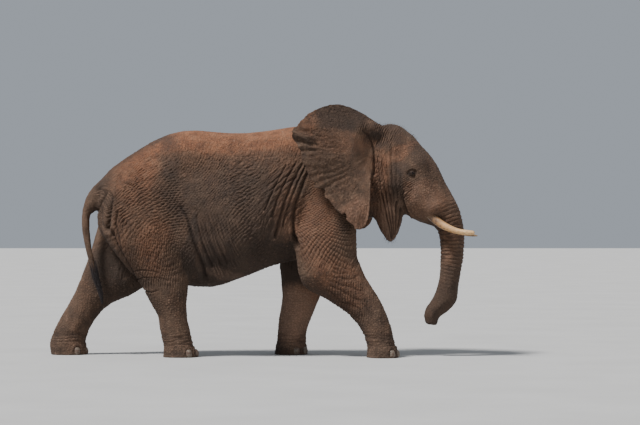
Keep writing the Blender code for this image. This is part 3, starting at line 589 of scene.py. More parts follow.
class Places:
    """Where each point of the skin lies, in all the ways that its folds and marks are drawn in."""

    def __init__(self, points, normals, sheets):
        self.points, self.normals = points, normals
        self.straight = to_straight(points)
        self.x, self.y, self.z = x, y, z = self.straight.T
        self.left = y > 0
        self.flat = np.stack([x, z], axis=1)
        gap, self.share, self.along = near_ear(points, sheets)
        self.ear = ramp(gap, 0.050, 0.022)
        self.body = 1 - self.ear
        self.outer = ramp(np.abs(normals[:, 1]), 0.1, 0.4)
        self.unroll(points)
        self.divide(x, z)

    def unroll(self, points):
        """Coordinates along the body (u) and round it (v), and the noises that fray every pattern."""
        def both(scale, *seeds):
            return [noise(points, scale, seed) for seed in seeds]
        shifts = zip(both(0.30, 11, 12), both(0.075, 13, 14))
        self.shift_u, self.shift_v = (0.030 * wide + 0.008 * slight for wide, slight in shifts)
        u, v = around(self.straight)
        self.u, self.v = u + self.shift_u + SIDE_STEP * self.left, v + self.shift_v
        self.patchy, self.broken = layered(points, 0.35, 31), noise(points, 0.20, 33)
        self.some = ramp(self.broken, -0.6, 0.3)
        self.level, self.steep = (ramp(value, -0.6, 0.4) for value in both(0.22, 57, 58))
        self.swirl, self.swing = both(0.17, 47, 48)
        self.ripple, self.shiver = both(0.055, 49, 50)
        self.stray = 0.35 * noise(points, 0.16, 35) + 0.15 * noise(points, 0.06, 36)
        self.fine = points + 0.010 * np.stack(both(0.08, 15, 16, 17), axis=1)

    def divide(self, x, z):
        """How far each point belongs to each region of the body, from 0 to 1."""
        body = self.body
        self.head = ramp(x, 1.45, 1.65)
        trunk_gap, self.trunk_share = polyline(self.flat, TRUNK_LINE)
        self.trunk = ramp(self.trunk_share, 0.10, 0.28) * self.head * ramp(trunk_gap, 0.25, 0.15)
        self.legs = ramp(z, 1.25, 0.85) * ramp(x, 1.95, 1.85)
        self.tail = ramp(x, -2.03, -2.12) * ramp(z, 0.95, 1.0)
        self.torso = (1 - self.head) * (1 - self.legs) * (1 - self.tail) * body
        self.rump = self.patch(-1.52, 1.72, 0.98, 1.02) * ramp(x, -0.72, -0.98) * (1 - self.tail) * body
        self.thigh = self.patch(-1.30, 1.22, 0.60, 0.60) * body
        self.elbow = self.patch(0.68, 1.03, 0.26, 0.24)
        self.arm = self.patch(0.76, 1.66, 0.66, 0.98) * (1 - self.head) * body
        self.arm = self.arm * ramp(x, 0.32, 0.48) * (1 - 0.85 * self.elbow)
        self.scapula = self.patch(0.28, 1.96, 0.48, 0.68, -22) * body
        self.groin = self.patch(-0.52, 1.40, 0.44, 0.64, 12) * body
        others = np.maximum.reduce([self.arm, self.scapula, self.groin])
        self.wall = self.torso * (1 - self.rump) * (1 - 0.75 * others) * ramp(z, 2.85, 2.4)

    def patch(self, *shape):
        return zone(self.straight, *shape)


def press_rear(form, at):
    """Rump: cushions in arcs about the knee, finer below. Thigh: leaning lines crossed by level ones."""
    points, u, v = at.points, at.u, at.v
    # Large soft unevenness of flesh under the whole skin.
    form.height += 0.010 * layered(points, 0.55, 41, 2) * at.torso
    form.height += 0.004 * layered(points, 0.22, 45, 2) * (1 - at.tail) * at.body * ramp(at.z, 0.0, 0.1)
    beside, above = u - SIDE_STEP * at.left - KNEE[0], v - KNEE[1]
    radius, turn = np.hypot(beside, above), 0.75 * (np.arctan2(above, -beside) + 5.0 * at.left)
    deep = at.patch(-1.50, 1.86, 0.72, 0.42, -14)
    low = at.rump * (1 - 0.5 * ramp(at.z, 1.62, 1.40))
    form.folds(radius / 0.043 + 0.65 * at.swirl + 0.22 * at.ripple, 0.0115 + 0.0050 * deep,
               low * (0.35 + 0.65 * at.level), 0.7)
    form.folds((0.80 * u - 0.60 * v) / 0.052 + 0.65 * at.swing + 0.22 * at.shiver, 0.0075 + 0.0040 * deep,
               at.rump * (0.2 + 0.8 * at.steep), 0.7)
    form.cushions(51, (radius / 0.034, turn / 0.062), 0.0050, low)
    form.cushions(53, (radius / 0.019, turn / 0.030), 0.0030, at.rump)
    leaning = u - 0.25 * v
    form.folds(leaning / 0.030 + 0.35 * at.swing + 0.15 * at.shiver, 0.0105,
               at.thigh * (0.5 + 0.5 * ramp(at.patchy, -0.5, 0.4)), 0.7)
    form.folds((v + 0.15 * u) / 0.034 + 0.35 * at.swirl + 0.15 * at.ripple, 0.0060,
               at.thigh * (0.3 + 0.7 * at.level), 0.7)
    form.cushions(55, (leaning / 0.026, v / 0.040), 0.0045, at.thigh, jitter=0.9)
    # Tail: rings, and upright folds where it leaves the rump.
    form.cushions(131, ((at.z + 0.3 * at.x) / 0.026, at.y / 0.10), 0.0016, at.tail)
    web = at.patch(-1.98, 1.95, 0.26, 0.30, 20)
    form.cushions(133, ((u + 0.50 * v) / 0.048, v / 0.35), 0.008, web * (1 - at.tail * 0.7))


def press_side(form, at):
    """Side: leaning lines, flatter below, short cells on the back, and the long folds at its two ends."""
    u, v, stray, some = at.u, at.v, at.stray, at.some
    slant = 0.92 + 0.08 * (v - 1.6) + 0.09 * noise(at.points, 0.5, 37)
    onward, across = u * np.cos(slant) + v * np.sin(slant), v * np.cos(slant) - u * np.sin(slant)
    form.folds(across / 0.035 + stray, 0.0095, at.wall * (0.45 + 0.55 * at.level), 0.7)
    form.cushions(61, (across / 0.031, onward / 0.056), 0.0075, at.wall * (0.6 + 0.4 * ramp(at.patchy, -0.6, 0.4)))
    form.cushions(63, (across / 0.080, onward / 0.160), 0.0045, at.wall * some, 0.35)
    crest = at.torso * ramp(at.z, 2.2, 2.5)
    form.cushions(71, (u / 0.026, v / 0.060), 0.0042, crest * (1 - 0.6 * ramp(at.z, 2.62, 2.85)))

    # Groin: upright folds that run down to the belly.
    upright = u + 0.34 * v
    form.folds(upright / 0.041 + 1.2 * stray, 0.0080, at.groin * (0.4 + 0.6 * some), 0.7)
    form.cushions(81, (upright / 0.036, v / 0.30), 0.0065, at.groin)
    form.folds(across / 0.034 + stray, 0.0040, at.groin * at.level, 0.7)

    # Behind the shoulder: long folds that lean back and down, and thin ones between them.
    sweep = u - 0.44 * (v - 1.6) - 0.20 * (v - 1.6) ** 2
    form.folds(sweep / 0.086 + stray, 0.0105,
               at.scapula * at.patch(0.28, 1.93, 0.40, 0.58, -22) * (0.4 + 0.6 * some))
    form.cushions(83, (sweep / 0.062, v / 0.50), 0.0075, at.scapula * (0.45 + 0.55 * some))
    form.cushions(84, (sweep / 0.028, v / 0.11), 0.0055, at.scapula)


def press_legs(form, at):
    """Creases that cross on the upper arm, a fine grid on the forearm, and a net with rings on the legs."""
    u, v, z = at.u, at.v, at.z
    falling, rising = 0.42 * u + 0.91 * v, -0.74 * u + 0.67 * v
    form.folds(falling / 0.036 + 0.6 * at.stray, 0.0125, at.arm * (0.75 + 0.25 * ramp(at.patchy, -0.5, 0.4)), 0.7)
    form.folds(rising / 0.036 - 0.6 * at.stray, 0.0105, at.arm * (0.65 + 0.35 * at.some), 0.7)
    form.cushions(87, (rising / 0.030, falling / 0.030), 0.0030, at.arm)

    forearm = at.patch(1.10, 0.74, 0.56, 0.34, -43) * (at.y < 0) * (1 - 0.85 * at.elbow)
    form.folds((v + 0.15 * u) / 0.034 + 0.5 * at.stray, 0.0100, forearm, 0.7)
    form.folds((u - 0.30 * v) / 0.034 - 0.5 * at.stray, 0.0085, forearm, 0.7)

    low = at.legs * ramp(z, 0.0, 0.05) * (1 - at.thigh)
    form.cushions(91, (at.fine / np.array([0.036, 0.036, 0.028])).T, 0.0062,
                  low * (0.6 + 0.4 * ramp(at.patchy, -0.5, 0.5)), jitter=0.7)
    rings = ramp(z, 0.36, 0.26) * ramp(z, 0.10, 0.16) * at.legs
    form.cushions(93, ((z + at.shift_v) / 0.040, u / 0.30), 0.0060, rings)
    wrist = at.patch(1.22, 0.72, 0.30, 0.22, 30) * (at.y < 0)
    form.cushions(95, ((0.55 * u + 0.83 * v) / 0.050, (0.83 * u - 0.55 * v) / 0.3), 0.0045, wrist)


def press_trunk(form, at):
    """Trunk: rings across it, deepest above, with finer ones between."""
    depths, ahead = [-point[1] for point in TRUNK_LINE], [point[0] for point in TRUNK_LINE]
    angle = np.arctan2(at.y, at.x - np.interp(-at.z, depths, ahead))
    reach = np.linalg.norm(np.diff(np.asarray(TRUNK_LINE), axis=0), axis=1).sum()
    length = at.trunk_share * reach + 0.009 * noise(at.points, 0.10, 101) + 0.004 * noise(at.points, 0.04, 102)
    length += 0.016 * np.abs(angle) / math.pi
    upper = ramp(at.trunk_share, 0.78, 0.55) * ramp(at.trunk_share, 0.16, 0.34)
    form.press(lines(length / 0.046, 0.17), 0.0075, at.trunk * (0.16 + 0.84 * upper))
    form.cushions(103, (length / 0.040 + 0.5, angle * 0.17 / 0.13), 0.0036, at.trunk * (0.4 + 0.6 * upper))
    form.cushions(105, (length / 0.017, angle * 0.17 / 0.055), 0.0022, at.trunk)


def press_head(form, at):
    """Neck and cheek: dense folds ahead of the ear, down to the lower lip. Crown, lip and bags: fine lines."""
    x, z, v, stray, some = at.x, at.z, at.v, at.stray, at.some
    fan = (x + at.shift_u * 0.4 - 1.655) / np.maximum(z - 0.55, 0.3) * 1.45 + SIDE_STEP * at.left
    cheeks = np.maximum(at.patch(1.56, 2.08, 0.27, 0.76, -6), 0.9 * at.patch(1.63, 1.72, 0.24, 0.44))
    cheeks = cheeks * at.body * ramp(z, 1.32, 1.42)
    form.folds(fan / (0.046 + 0.018 * ramp(z, 1.9, 1.6)) + 0.45 * stray, 0.0135,
               cheeks * (0.55 + 0.45 * some), 0.7)
    form.cushions(111, (fan / 0.050, v / 0.30), 0.0045, cheeks * (0.5 + 0.5 * some))
    form.cushions(113, (fan / 0.021, v / 0.08), 0.0034, cheeks)

    crown = at.patch(1.46, 2.77, 0.38, 0.27)
    form.folds((x - 0.40 * z + at.shift_u * 0.3) / 0.028 + 0.5 * stray, 0.0110, crown * (0.6 + 0.4 * some), 0.7)
    form.cushions(115, ((x - 0.40 * z + at.shift_u * 0.4) / 0.026, z / 0.10), 0.0055, crown)
    # The rest of the head has a fine net.
    form.cushions(121, (at.fine / np.array([0.028, 0.040, 0.032])).T, 0.0040, at.head * at.body * (1 - at.trunk))
    lip = at.patch(1.80, 2.02, 0.15, 0.20, -30)
    form.folds((z - 0.75 * x + at.shift_u * 0.3) / 0.034 + 0.6 * stray, 0.0085, lip, 0.8)
    form.cushions(125, ((z - 0.75 * x) / 0.030, (x + 0.75 * z) / 0.08), 0.0050, lip)
    bag = at.patch(1.86, 2.17, 0.17, 0.13) * (1 - at.trunk)
    form.folds((z - 0.55 * x + at.shift_u * 0.3) / 0.026 + 0.5 * stray, 0.0050, bag, 0.7)


def press_strokes(form, at):
    """Single folds, each with soft rolls of skin beside it."""
    moved = at.flat + 0.4 * np.stack([at.shift_u, at.shift_v], axis=1)
    edge = ramp(np.abs(at.y), 0.02, 0.06) * (1 - at.tail) * at.body
    for line, half, first, last in STROKES:
        distance, place = polyline(moved, line)
        depth = first + (last - first) * place
        form.press(np.exp(-(distance / half) ** 2), depth, edge)
        form.height += 0.22 * depth * np.exp(-((distance - 2.3 * half) / half) ** 2) * edge
    # The skin is thin between tail and rump, so the gap there is drawn in colour only, as painted shade.
    distance, _ = polyline(moved, TAIL_GAP)
    form.crease_shade = np.maximum(form.crease_shade, 0.9 * np.exp(-(distance / 0.026) ** 2))
    distance, place = polyline(at.flat, EAR_CREASE)
    form.press(np.exp(-(distance / 0.014) ** 2), 0.012 + 0.020 * ramp(place, 0.1, 0.6), at.outer)


def press_ears(form, at):
    """A fine net on both faces of each ear."""
    other_side = at.left * 9.0
    form.cushions(141, (at.share * 75 + 0.6 * at.broken, at.along * 26, other_side), 0.0042,
                  at.ear * ramp(at.along, 0.15, 0.5))
    form.cushions(143, (at.share * 30 + 0.4 * at.broken, at.along * 8, other_side), 0.0045,
                  at.ear * ramp(at.along, 0.25, 0.7), 0.3)


def press_toes(form, at):
    """The skin swells round each nail."""
    for name in NODES:
        if "_nail_" in name:
            low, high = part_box(name)
            middle = np.array((low + high) / 2)
            distance = np.linalg.norm((at.points - middle) / np.array([1.0, 1.0, 1.1]), axis=1)
            form.height += 0.006 * np.exp(-((distance - 0.070) / 0.020) ** 2) * ramp(at.z, 0.02, 0.06)
            form.height -= 0.003 * np.exp(-((distance - 0.10) / 0.012) ** 2) * ramp(at.z, 0.05, 0.09)


def relief(points, normals, sheets):
    """The height of every fold and wrinkle, and the marks of colour that go with them."""
    at = Places(points, normals, sheets)
    form = Relief(len(points))
    for press in (press_rear, press_side, press_legs, press_trunk, press_head, press_strokes, press_ears,
                  press_toes):
        press(form, at)
    return form.height, colour_marks(at, form.crease_shade)


# Patches of colour in the side view: channel, x, z, half width, half height, lean, amount, where.
# "even" patches have a smooth outline and the others a ragged one; "raised" ones spare the creases.
PATCHES = (
    # Red dust: rump and haunch, cheek, neck, crown, trunk, arm, shoulder, thigh, ears. Dust with painted
    # light: the temple's highlight, the lit jaw, and the far foreleg's sunlit lower part.
    ("dust_and_light", -1.60, 2.22, 0.50, 0.40, 0, 0.40, "body"), ("dust_and_light", -1.50, 1.45, 0.50, 0.70, 0, 0.25, "body"),
    ("dust_and_light", 1.74, 2.52, 0.30, 0.12, 29, 0.62, "body"), ("dust_and_light", 2.02, 1.96, 0.34, 0.32, 0, 0.40, "body even"),
    ("dust_and_light", 1.63, 1.62, 0.26, 0.40, 0, 0.20, "body"), ("dust_and_light", 1.50, 2.10, 0.24, 0.60, 0, 0.30, "body"),
    ("dust_and_light", 1.52, 2.72, 0.34, 0.24, 0, 0.12, ""), ("dust_and_light", 2.34, 1.62, 0.24, 0.60, 0, 0.25, ""),
    ("dust_and_light", 0.68, 1.62, 0.36, 0.64, 0, 0.52, "body"), ("dust_and_light", 0.96, 0.88, 0.50, 0.50, 0, 0.52, "body"),
    ("dust_and_light", 0.30, 1.78, 0.24, 0.42, 0, 0.45, "body"), ("dust_and_light", 1.47, 2.20, 0.18, 0.46, 0, 0.30, "body"),
    ("dust_and_light", -1.42, 2.38, 0.25, 0.35, 0, 0.30, "body"), ("dust_and_light", -1.30, 1.38, 0.32, 0.46, 0, 0.30, "body"),
    ("dust_and_light", 0.42, 0.50, 0.48, 0.46, 0, 1.00, "left"), ("dust_and_light", 1.00, 2.64, 0.44, 0.22, 0, 0.40, "ear"),
    ("dust_and_light", 1.20, 1.74, 0.26, 0.28, 0, 0.80, "ear"), ("dust_and_light", 0.56, 2.90, 0.24, 0.20, 40, 0.40, "ear"),
    # Dark, damp skin: hip, flank, crown, round the eye, tip of the trunk, groin, elbow, ears. Painted shade:
    # round the eye with the dark skin, under the cheekbone, in the brow hollow, and on the far hind leg's inner
    # side.
    ("damp_and_shade", -1.10, 2.46, 0.17, 0.44, 4, 0.55, "body"), ("damp_and_shade", -1.05, 2.05, 0.35, 0.40, 0, 0.35, "body"),
    ("damp_and_shade", -0.35, 1.80, 0.85, 0.80, 0, 0.55, "body"), ("damp_and_shade", 1.50, 2.76, 0.40, 0.26, 0, 0.45, "body"),
    ("damp_and_shade", 1.84, 2.28, 0.16, 0.16, 0, 0.45, "body"), ("damp_and_shade", 1.71, 2.17, 0.13, 0.28, 0, 0.62, "body"),
    ("damp_and_shade", 1.99, 2.47, 0.10, 0.24, 35, 0.45, "body"), ("damp_and_shade", 2.28, 0.62, 0.42, 0.62, 0, 0.60, ""),
    ("damp_and_shade", -1.86, 1.12, 0.48, 0.46, 0, 1.00, "left body"), ("damp_and_shade", -0.88, 1.36, 0.10, 0.50, -8, 0.75, "body"),
    ("damp_and_shade", 0.42, 1.36, 0.16, 0.24, 0, 0.25, "body"), ("damp_and_shade", 0.98, 2.95, 0.46, 0.24, 0, 0.95, "ear"),
    ("damp_and_shade", 1.20, 2.32, 0.18, 0.36, 0, 0.40, "ear"), ("damp_and_shade", 0.98, 2.66, 0.40, 0.20, 0, 0.34, "ear"),
    # Bare pale skin: lip, arm, shoulder, cheek, neck, ears. Painted light: the belly's folds, lit from
    # below, the far foreleg's sunlit lower part, the temple's highlight and the lit jaw.
    ("pale_and_light", -0.50, 1.06, 0.36, 0.10, -10, 0.48, "raised"), ("pale_and_light", 0.40, 0.48, 0.42, 0.50, 0, 1.00, "left"),
    ("pale_and_light", 1.78, 1.98, 0.10, 0.15, -30, 0.40, "body"), ("pale_and_light", 1.74, 2.52, 0.28, 0.10, 29, 0.26, "body"),
    ("pale_and_light", 0.70, 1.60, 0.34, 0.50, 0, 0.16, "body"), ("pale_and_light", 0.30, 1.78, 0.22, 0.40, 0, 0.24, "body"),
    ("pale_and_light", 2.00, 1.94, 0.34, 0.32, 0, 0.42, "body raised even"),
    ("pale_and_light", 1.63, 1.64, 0.24, 0.46, 0, 0.80, "body raised"),
    ("pale_and_light", 1.47, 2.20, 0.12, 0.40, 0, 0.28, "body raised even"),
    ("pale_and_light", 1.00, 2.62, 0.46, 0.24, 0, 0.22, "ear"), ("pale_and_light", 1.20, 1.74, 0.28, 0.30, 0, 0.60, "ear"),
)


def colour_marks(at, crease_shade):
    """Dust with painted light, damp skin with painted shade, painted shade in the creases, and bare pale skin with
    painted light, each from 0 to 1, as four channels.
    """
    broad = layered(at.points, 0.6, 201)
    streak = layered(at.points * np.array([1.0, 1.0, 0.35]), 0.16, 211)
    speck = layered(at.points, 0.05, 221, 2)
    ragged = at.straight + 0.10 * np.stack([broad, speck, layered(at.points, 0.25, 231)], axis=1)
    x, _, z = ragged.T
    body, ear, facing = at.body, at.ear, at.normals[:, 2]
    masks = {"body": body, "ear": ear, "left": at.left, "raised": 1 - crease_shade}
    marks = {"dust_and_light": np.zeros(len(x)), "damp_and_shade": np.zeros(len(x)), "pale_and_light": np.zeros(len(x))}
    for channel, *shape, amount, where in PATCHES:
        patch = amount * zone(at.straight if "even" in where else ragged, *shape)
        for name, mask in masks.items():
            if name in where.split():
                patch = patch * mask
        marks[channel] += patch

    # Dust settles on the back and on whatever faces up.
    up = ramp(facing, -0.1, 0.85)
    back = (0.35 * ramp(z, 2.05, 2.6) + 0.65 * ramp(z, 2.46, 2.64)) * ramp(x, -2.3, -1.9) * ramp(x, 1.3, 0.9)
    marks["dust_and_light"] += back * body * (0.50 + 0.50 * up) + 0.35 * ramp(up, 0.55, 1.0) * body * ramp(x, 1.6, 1.2)
    marks["dust_and_light"] += 0.24 * streak + 0.14 * speck + 0.10 * ear * ramp(broad, -0.3, 0.4)

    # Painted shade: the belly and whatever faces down are darkened, less where jaw and cheek are lit,
    # and so is the far foreleg's top, in the body's shadow. The cleft of the rump is dark skin, and the
    # skin darkens towards the soles.
    lit = np.maximum(at.patch(1.62, 1.68, 0.28, 0.50), at.patch(1.98, 1.86, 0.34, 0.34))
    marks["damp_and_shade"] += 0.85 * ramp(z, 1.35, 0.95) * ramp(x, -0.9, -0.6) * ramp(x, 0.5, 0.2) * body
    marks["damp_and_shade"] += 0.85 * ramp(facing, 0.05, -0.70) * (1 - 0.8 * lit)
    marks["damp_and_shade"] += 0.80 * ramp(np.abs(at.y), 0.30, 0.10) * ramp(x, -1.0, -1.3) * ramp(z, 2.0, 2.2)
    far_top = ramp(z, 0.78, 1.02) * ramp(z, 1.6, 1.3) * ramp(x, -0.3, 0.0) * ramp(x, 0.95, 0.8)
    marks["damp_and_shade"] += 0.85 * far_top * at.left * body
    marks["damp_and_shade"] += 0.30 * ear * ramp(streak, -0.1, 0.5) + 0.30 * ramp(streak, 0.15, 0.6)
    marks["damp_and_shade"] += 0.3 * ramp(z, 0.12, 0.0) - 0.25 * ear

    # The ear's front rim is paler, and painted highlights lighten the tops of the cells here and there.
    marks["pale_and_light"] += 0.25 * ear * ramp(at.x, 1.29, 1.35) * ramp(at.along, 0.8, 0.95) * ramp(z, 1.9, 2.3)
    marks["pale_and_light"] += 0.55 * ramp(speck, 0.42, 0.75) * body * (1 - crease_shade) ** 2 * ramp(x, 0.6, 0.3)
    return np.clip(np.stack([marks["dust_and_light"], marks["damp_and_shade"], crease_shade, marks["pale_and_light"]], axis=1), 0.0, 1.0)


LID = 0.0332                  # reach of the closed lid from the eyeball's middle
OPENING = 0.0315              # half width of the opening between the lids
# Folds above the eye and below it: height from its middle, half width, depth.
BROW_FOLDS = ((0.034, 0.066, 0.0080), (0.050, 0.070, 0.0055))
BAG_FOLDS = ((0.024, 0.046, 0.0050), (0.037, 0.056, 0.0050), (0.052, 0.062, 0.0045), (0.069, 0.066, 0.0040))


def socket(a, h, d, r):
    """The skin's new height round one eye, and how dark it is there: dark lid skin and painted shade.

    a is the place along the eye, h up it, d out of it, and r the distance from its middle.
    """
    def hollow(distance, half, depth):
        return depth * np.exp(-(distance / half) ** 2)
    slope = h - 0.12 * a
    ball = 0.0350
    # The lid lies over the ball, in a hollow under the brow.
    dome = np.sqrt(np.maximum(ball ** 2 - np.minimum(r, ball) ** 2, 0.0))
    blend = ramp(r, 0.024, 0.070)
    target = np.maximum(dome, 0.002) * (1 - blend) + np.maximum(d, 0.0) * blend
    target -= hollow(np.hypot(a / 1.25, slope - 0.030), 0.022, 0.008)
    target -= hollow(np.hypot(a + 0.045, slope - 0.010), 0.024, 0.008)
    target -= hollow(np.hypot(a / 1.2, slope + 0.004) - 0.045, 0.012, 0.008)
    # The opening, an almond with a higher arch above.
    arch = np.maximum(1 - (a / OPENING) ** 2, 0.0)
    inside = np.minimum(0.0180 * arch ** 0.7 - slope, slope + 0.0145 * arch ** 0.8)
    opened = ramp(inside, 0.0, 0.0022) * (np.abs(a) < OPENING)
    target += hollow(inside + 0.0035, 0.003, 0.0024) * (np.abs(a) < 0.040)
    target = target * (1 - opened) + (dome - 0.016) * opened
    for lift, width, depth in BROW_FOLDS:
        beside = slope - lift + 6.5 * a ** 2
        target -= hollow(beside, 0.0050, depth) * ramp(np.abs(a), width, width * 0.6)
        target += hollow(beside - 0.013, 0.008, 0.9 * depth) * ramp(np.abs(a), width, width * 0.5)
    for drop, width, depth in BAG_FOLDS:
        beside = slope + drop - 7.0 * a ** 2 - 0.25 * a
        target -= hollow(beside, 0.0045, depth) * ramp(np.abs(a), width, width * 0.6)
    # The closed lid keeps clear of the ball, and runs smoothly into the skin round it.
    lid = np.sqrt(np.maximum(LID ** 2 - a ** 2 - h ** 2, 0.0))
    soft = 0.004
    eased_lid = soft * np.logaddexp(target / soft, lid / soft - 1)
    target = np.where(opened > 0.3, target, np.maximum(eased_lid, lid))
    # The dark round the opening and the almond about the eye are dark lid skin and painted shade.
    rim = hollow(np.maximum(-inside, 0.0), 0.017, 1.0) * ramp(np.abs(a), 0.060, 0.042)
    almond = 1.10 * np.exp(-(np.hypot((a + 0.008) * 0.50, slope + 0.003) / 0.033) ** 4)
    return target, np.clip(np.maximum(rim, almond), 0, 1)


def carve_eyes(points):
    """Shape the sockets, lids and bags round the eyes; returns the points and a mark of dark lid skin and painted
    shade.
    """
    dark = np.zeros(len(points))
    for name, side in SIDES:
        centre, outward, forward, upward = eye_frame(name, side)
        offset = points - centre
        a, h, d = offset @ forward, offset @ upward, offset @ outward
        reach = np.hypot(a, h * 1.15)
        near = (reach < 0.16) & (d > -0.12) & (d < 0.12)
        target, shade = socket(a[near], h[near], d[near], reach[near])
        moved = (target - d[near]) * ramp(reach[near], 0.150, 0.085)
        points[near] += moved[:, None] * outward
        dark[near] = np.maximum(dark[near], shade)
    return points, dark


def carve_tip(points):
    """Two nostrils in the end of the trunk."""
    for side in (-1, 1):
        mouth = to_row((2.112, side * 0.021, 0.372))[0]
        distance = np.hypot((points[:, 0] - mouth[0]) / 1.25, points[:, 1] - mouth[1])
        low = ramp(points[:, 2], 0.50, 0.44) * (points[:, 0] > 1.9)
        points[:, 2] += 0.030 * eased(1 - distance / 0.020) * low
    return points


def make_skin():
    """The whole hide as one mesh, with its marks of colour."""
    sheets = [ear_sheet(side) for _, side in SIDES]
    solids = [closed_sheet("ear_sheet", grid, thick) for grid, thick, _, _ in sheets]
    obj = joined_flesh(solids)
    smooth_skin(obj, sheets)
    eyes = [eye_frame(name, side)[0] for name, side in SIDES]
    refine(obj, lambda p: (p[:, 0] > 1.40) & (p[:, 0] < 2.12) & (p[:, 2] > 1.86))
    for radius in (0.15, 0.09):
        refine(obj, lambda p: np.min([np.linalg.norm(p - eye, axis=1) for eye in eyes], axis=0) < radius)
    points, normals = points_of(obj.data), normals_of(obj.data)
    height, marks = relief(points, normals, sheets)
    eye_gap = np.min([np.linalg.norm(points - eye, axis=1) for eye in eyes], axis=0)
    height *= ramp(eye_gap, 0.030, 0.075)
    height *= ramp(points[:, 2], 0.0, 0.03)
    points = points + normals * height[:, None]
    points, dark = carve_eyes(points)
    points = carve_tip(points)
    points[:, 2] = np.maximum(points[:, 2], 0.0)
    points = np.clip(points, np.array(CAD_BOX[0]), np.array(CAD_BOX[1]))
    # The eye's mark of dark lid skin and painted shade darkens the skin and clears the dust.
    marks[:, 1] = np.maximum(marks[:, 1], dark)
    marks[:, 2] = np.maximum(marks[:, 2], 0.5 * dark)
    marks[:, 0] *= 1 - dark
    obj.data.vertices.foreach_set("co", points.astype(np.float32).ravel())
    layer = obj.data.attributes.new("marks", "FLOAT_COLOR", "POINT")
    layer.data.foreach_set("color", marks.astype(np.float32).ravel())
    obj.data.shade_smooth()
    obj.data.update()
    obj.data.materials.clear()
    obj.data.materials.append(hide_material())
    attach(obj, "root")
    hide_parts(*flesh_names(), "ear_right", "ear_left")
    return obj


# ---------------------------------------------------------------- materials
class Nodes:
    """A material's node tree, built in short calls."""

    def __init__(self, name, roughness):
        self.material = bpy.data.materials.new(name)
        self.material.use_nodes = True
        self.tree = self.material.node_tree
        self.shader = self.tree.nodes["Principled BSDF"]
        self.shader.inputs["Roughness"].default_value = roughness
        self.shader.inputs["Metallic"].default_value = 0.0

    def add(self, kind, **settings):
        node = self.tree.nodes.new(kind)
        for key, value in settings.items():
            setattr(node, key, value)
        return node

    def link(self, source, target):
        self.tree.links.new(source, target)

    def feed(self, socket, value):
        if hasattr(value, "is_output"):
            self.link(value, socket)
        else:
            socket.default_value = value

    def place(self, scale=(1.0, 1.0, 1.0), warp=0.0):
        """Points of the object, stretched, and bent by noise."""
        where = self.add("ShaderNodeTexCoord").outputs["Object"]
        if warp:
            bend = self.add("ShaderNodeTexNoise")
            bend.inputs["Scale"].default_value = 6.0
            self.link(where, bend.inputs["Vector"])
            mix = self.add("ShaderNodeVectorMath", operation="MULTIPLY_ADD")
            self.link(bend.outputs["Color"], mix.inputs[0])
            mix.inputs[1].default_value = (warp,) * 3
            self.link(where, mix.inputs[2])
            where = mix.outputs[0]
        stretch = self.add("ShaderNodeVectorMath", operation="MULTIPLY")
        self.link(where, stretch.inputs[0])
        stretch.inputs[1].default_value = scale
        return stretch.outputs[0]

    def noise(self, scale, detail=3.0, where=None):
        node = self.add("ShaderNodeTexNoise")
        node.inputs["Scale"].default_value = scale
        node.inputs["Detail"].default_value = detail
        self.link(where or self.place(), node.inputs["Vector"])
        return node.outputs["Fac"]

    def cells(self, scale, where):
        node = self.add("ShaderNodeTexVoronoi", feature="DISTANCE_TO_EDGE")
        node.inputs["Scale"].default_value = scale
        self.link(where, node.inputs["Vector"])
        return node.outputs["Distance"]

    def math(self, operation, first, second=0.0, clamp=False):
        node = self.add("ShaderNodeMath", operation=operation, use_clamp=clamp)
        self.feed(node.inputs[0], first)
        self.feed(node.inputs[1], second)
        return node.outputs[0]

    def steps(self, value, *stops):
        """A colour ramp: stops of (place, colour)."""
        node = self.add("ShaderNodeValToRGB")
        node.color_ramp.elements.remove(node.color_ramp.elements[0])
        for i, (place, colour) in enumerate(stops):
            stop = node.color_ramp.elements[0] if i == 0 else node.color_ramp.elements.new(place)
            stop.position = place
            stop.color = (*colour, 1.0)
        self.feed(node.inputs["Fac"], value)
        return node.outputs["Color"]

    def range(self, value, low, high, to_low=0.0, to_high=1.0):
        node = self.add("ShaderNodeMapRange")
        for key, number in (("From Min", low), ("From Max", high), ("To Min", to_low), ("To Max", to_high)):
            node.inputs[key].default_value = number
        self.feed(node.inputs["Value"], value)
        return node.outputs["Result"]

    def mix(self, share, first, second):
        node = self.add("ShaderNodeMix", data_type="RGBA")
        self.feed(node.inputs["Factor"], share)
        for socket, value in ((node.inputs[6], first), (node.inputs[7], second)):
            self.feed(socket, (*value, 1.0) if isinstance(value, tuple) else value)
        return node.outputs[2]

    def bump(self, height, distance, strength=1.0, under=None):
        node = self.add("ShaderNodeBump")
        node.inputs["Distance"].default_value = distance
        node.inputs["Strength"].default_value = strength
        self.feed(node.inputs["Height"], height)
        if under is not None:
            self.link(under, node.inputs["Normal"])
        return node.outputs["Normal"]

    def finish(self, colour, normal=None, roughness=None):
        self.feed(self.shader.inputs["Base Color"], colour)
        if normal is not None:
            self.link(normal, self.shader.inputs["Normal"])
        if roughness is not None:
            self.link(roughness, self.shader.inputs["Roughness"])
        return self.material


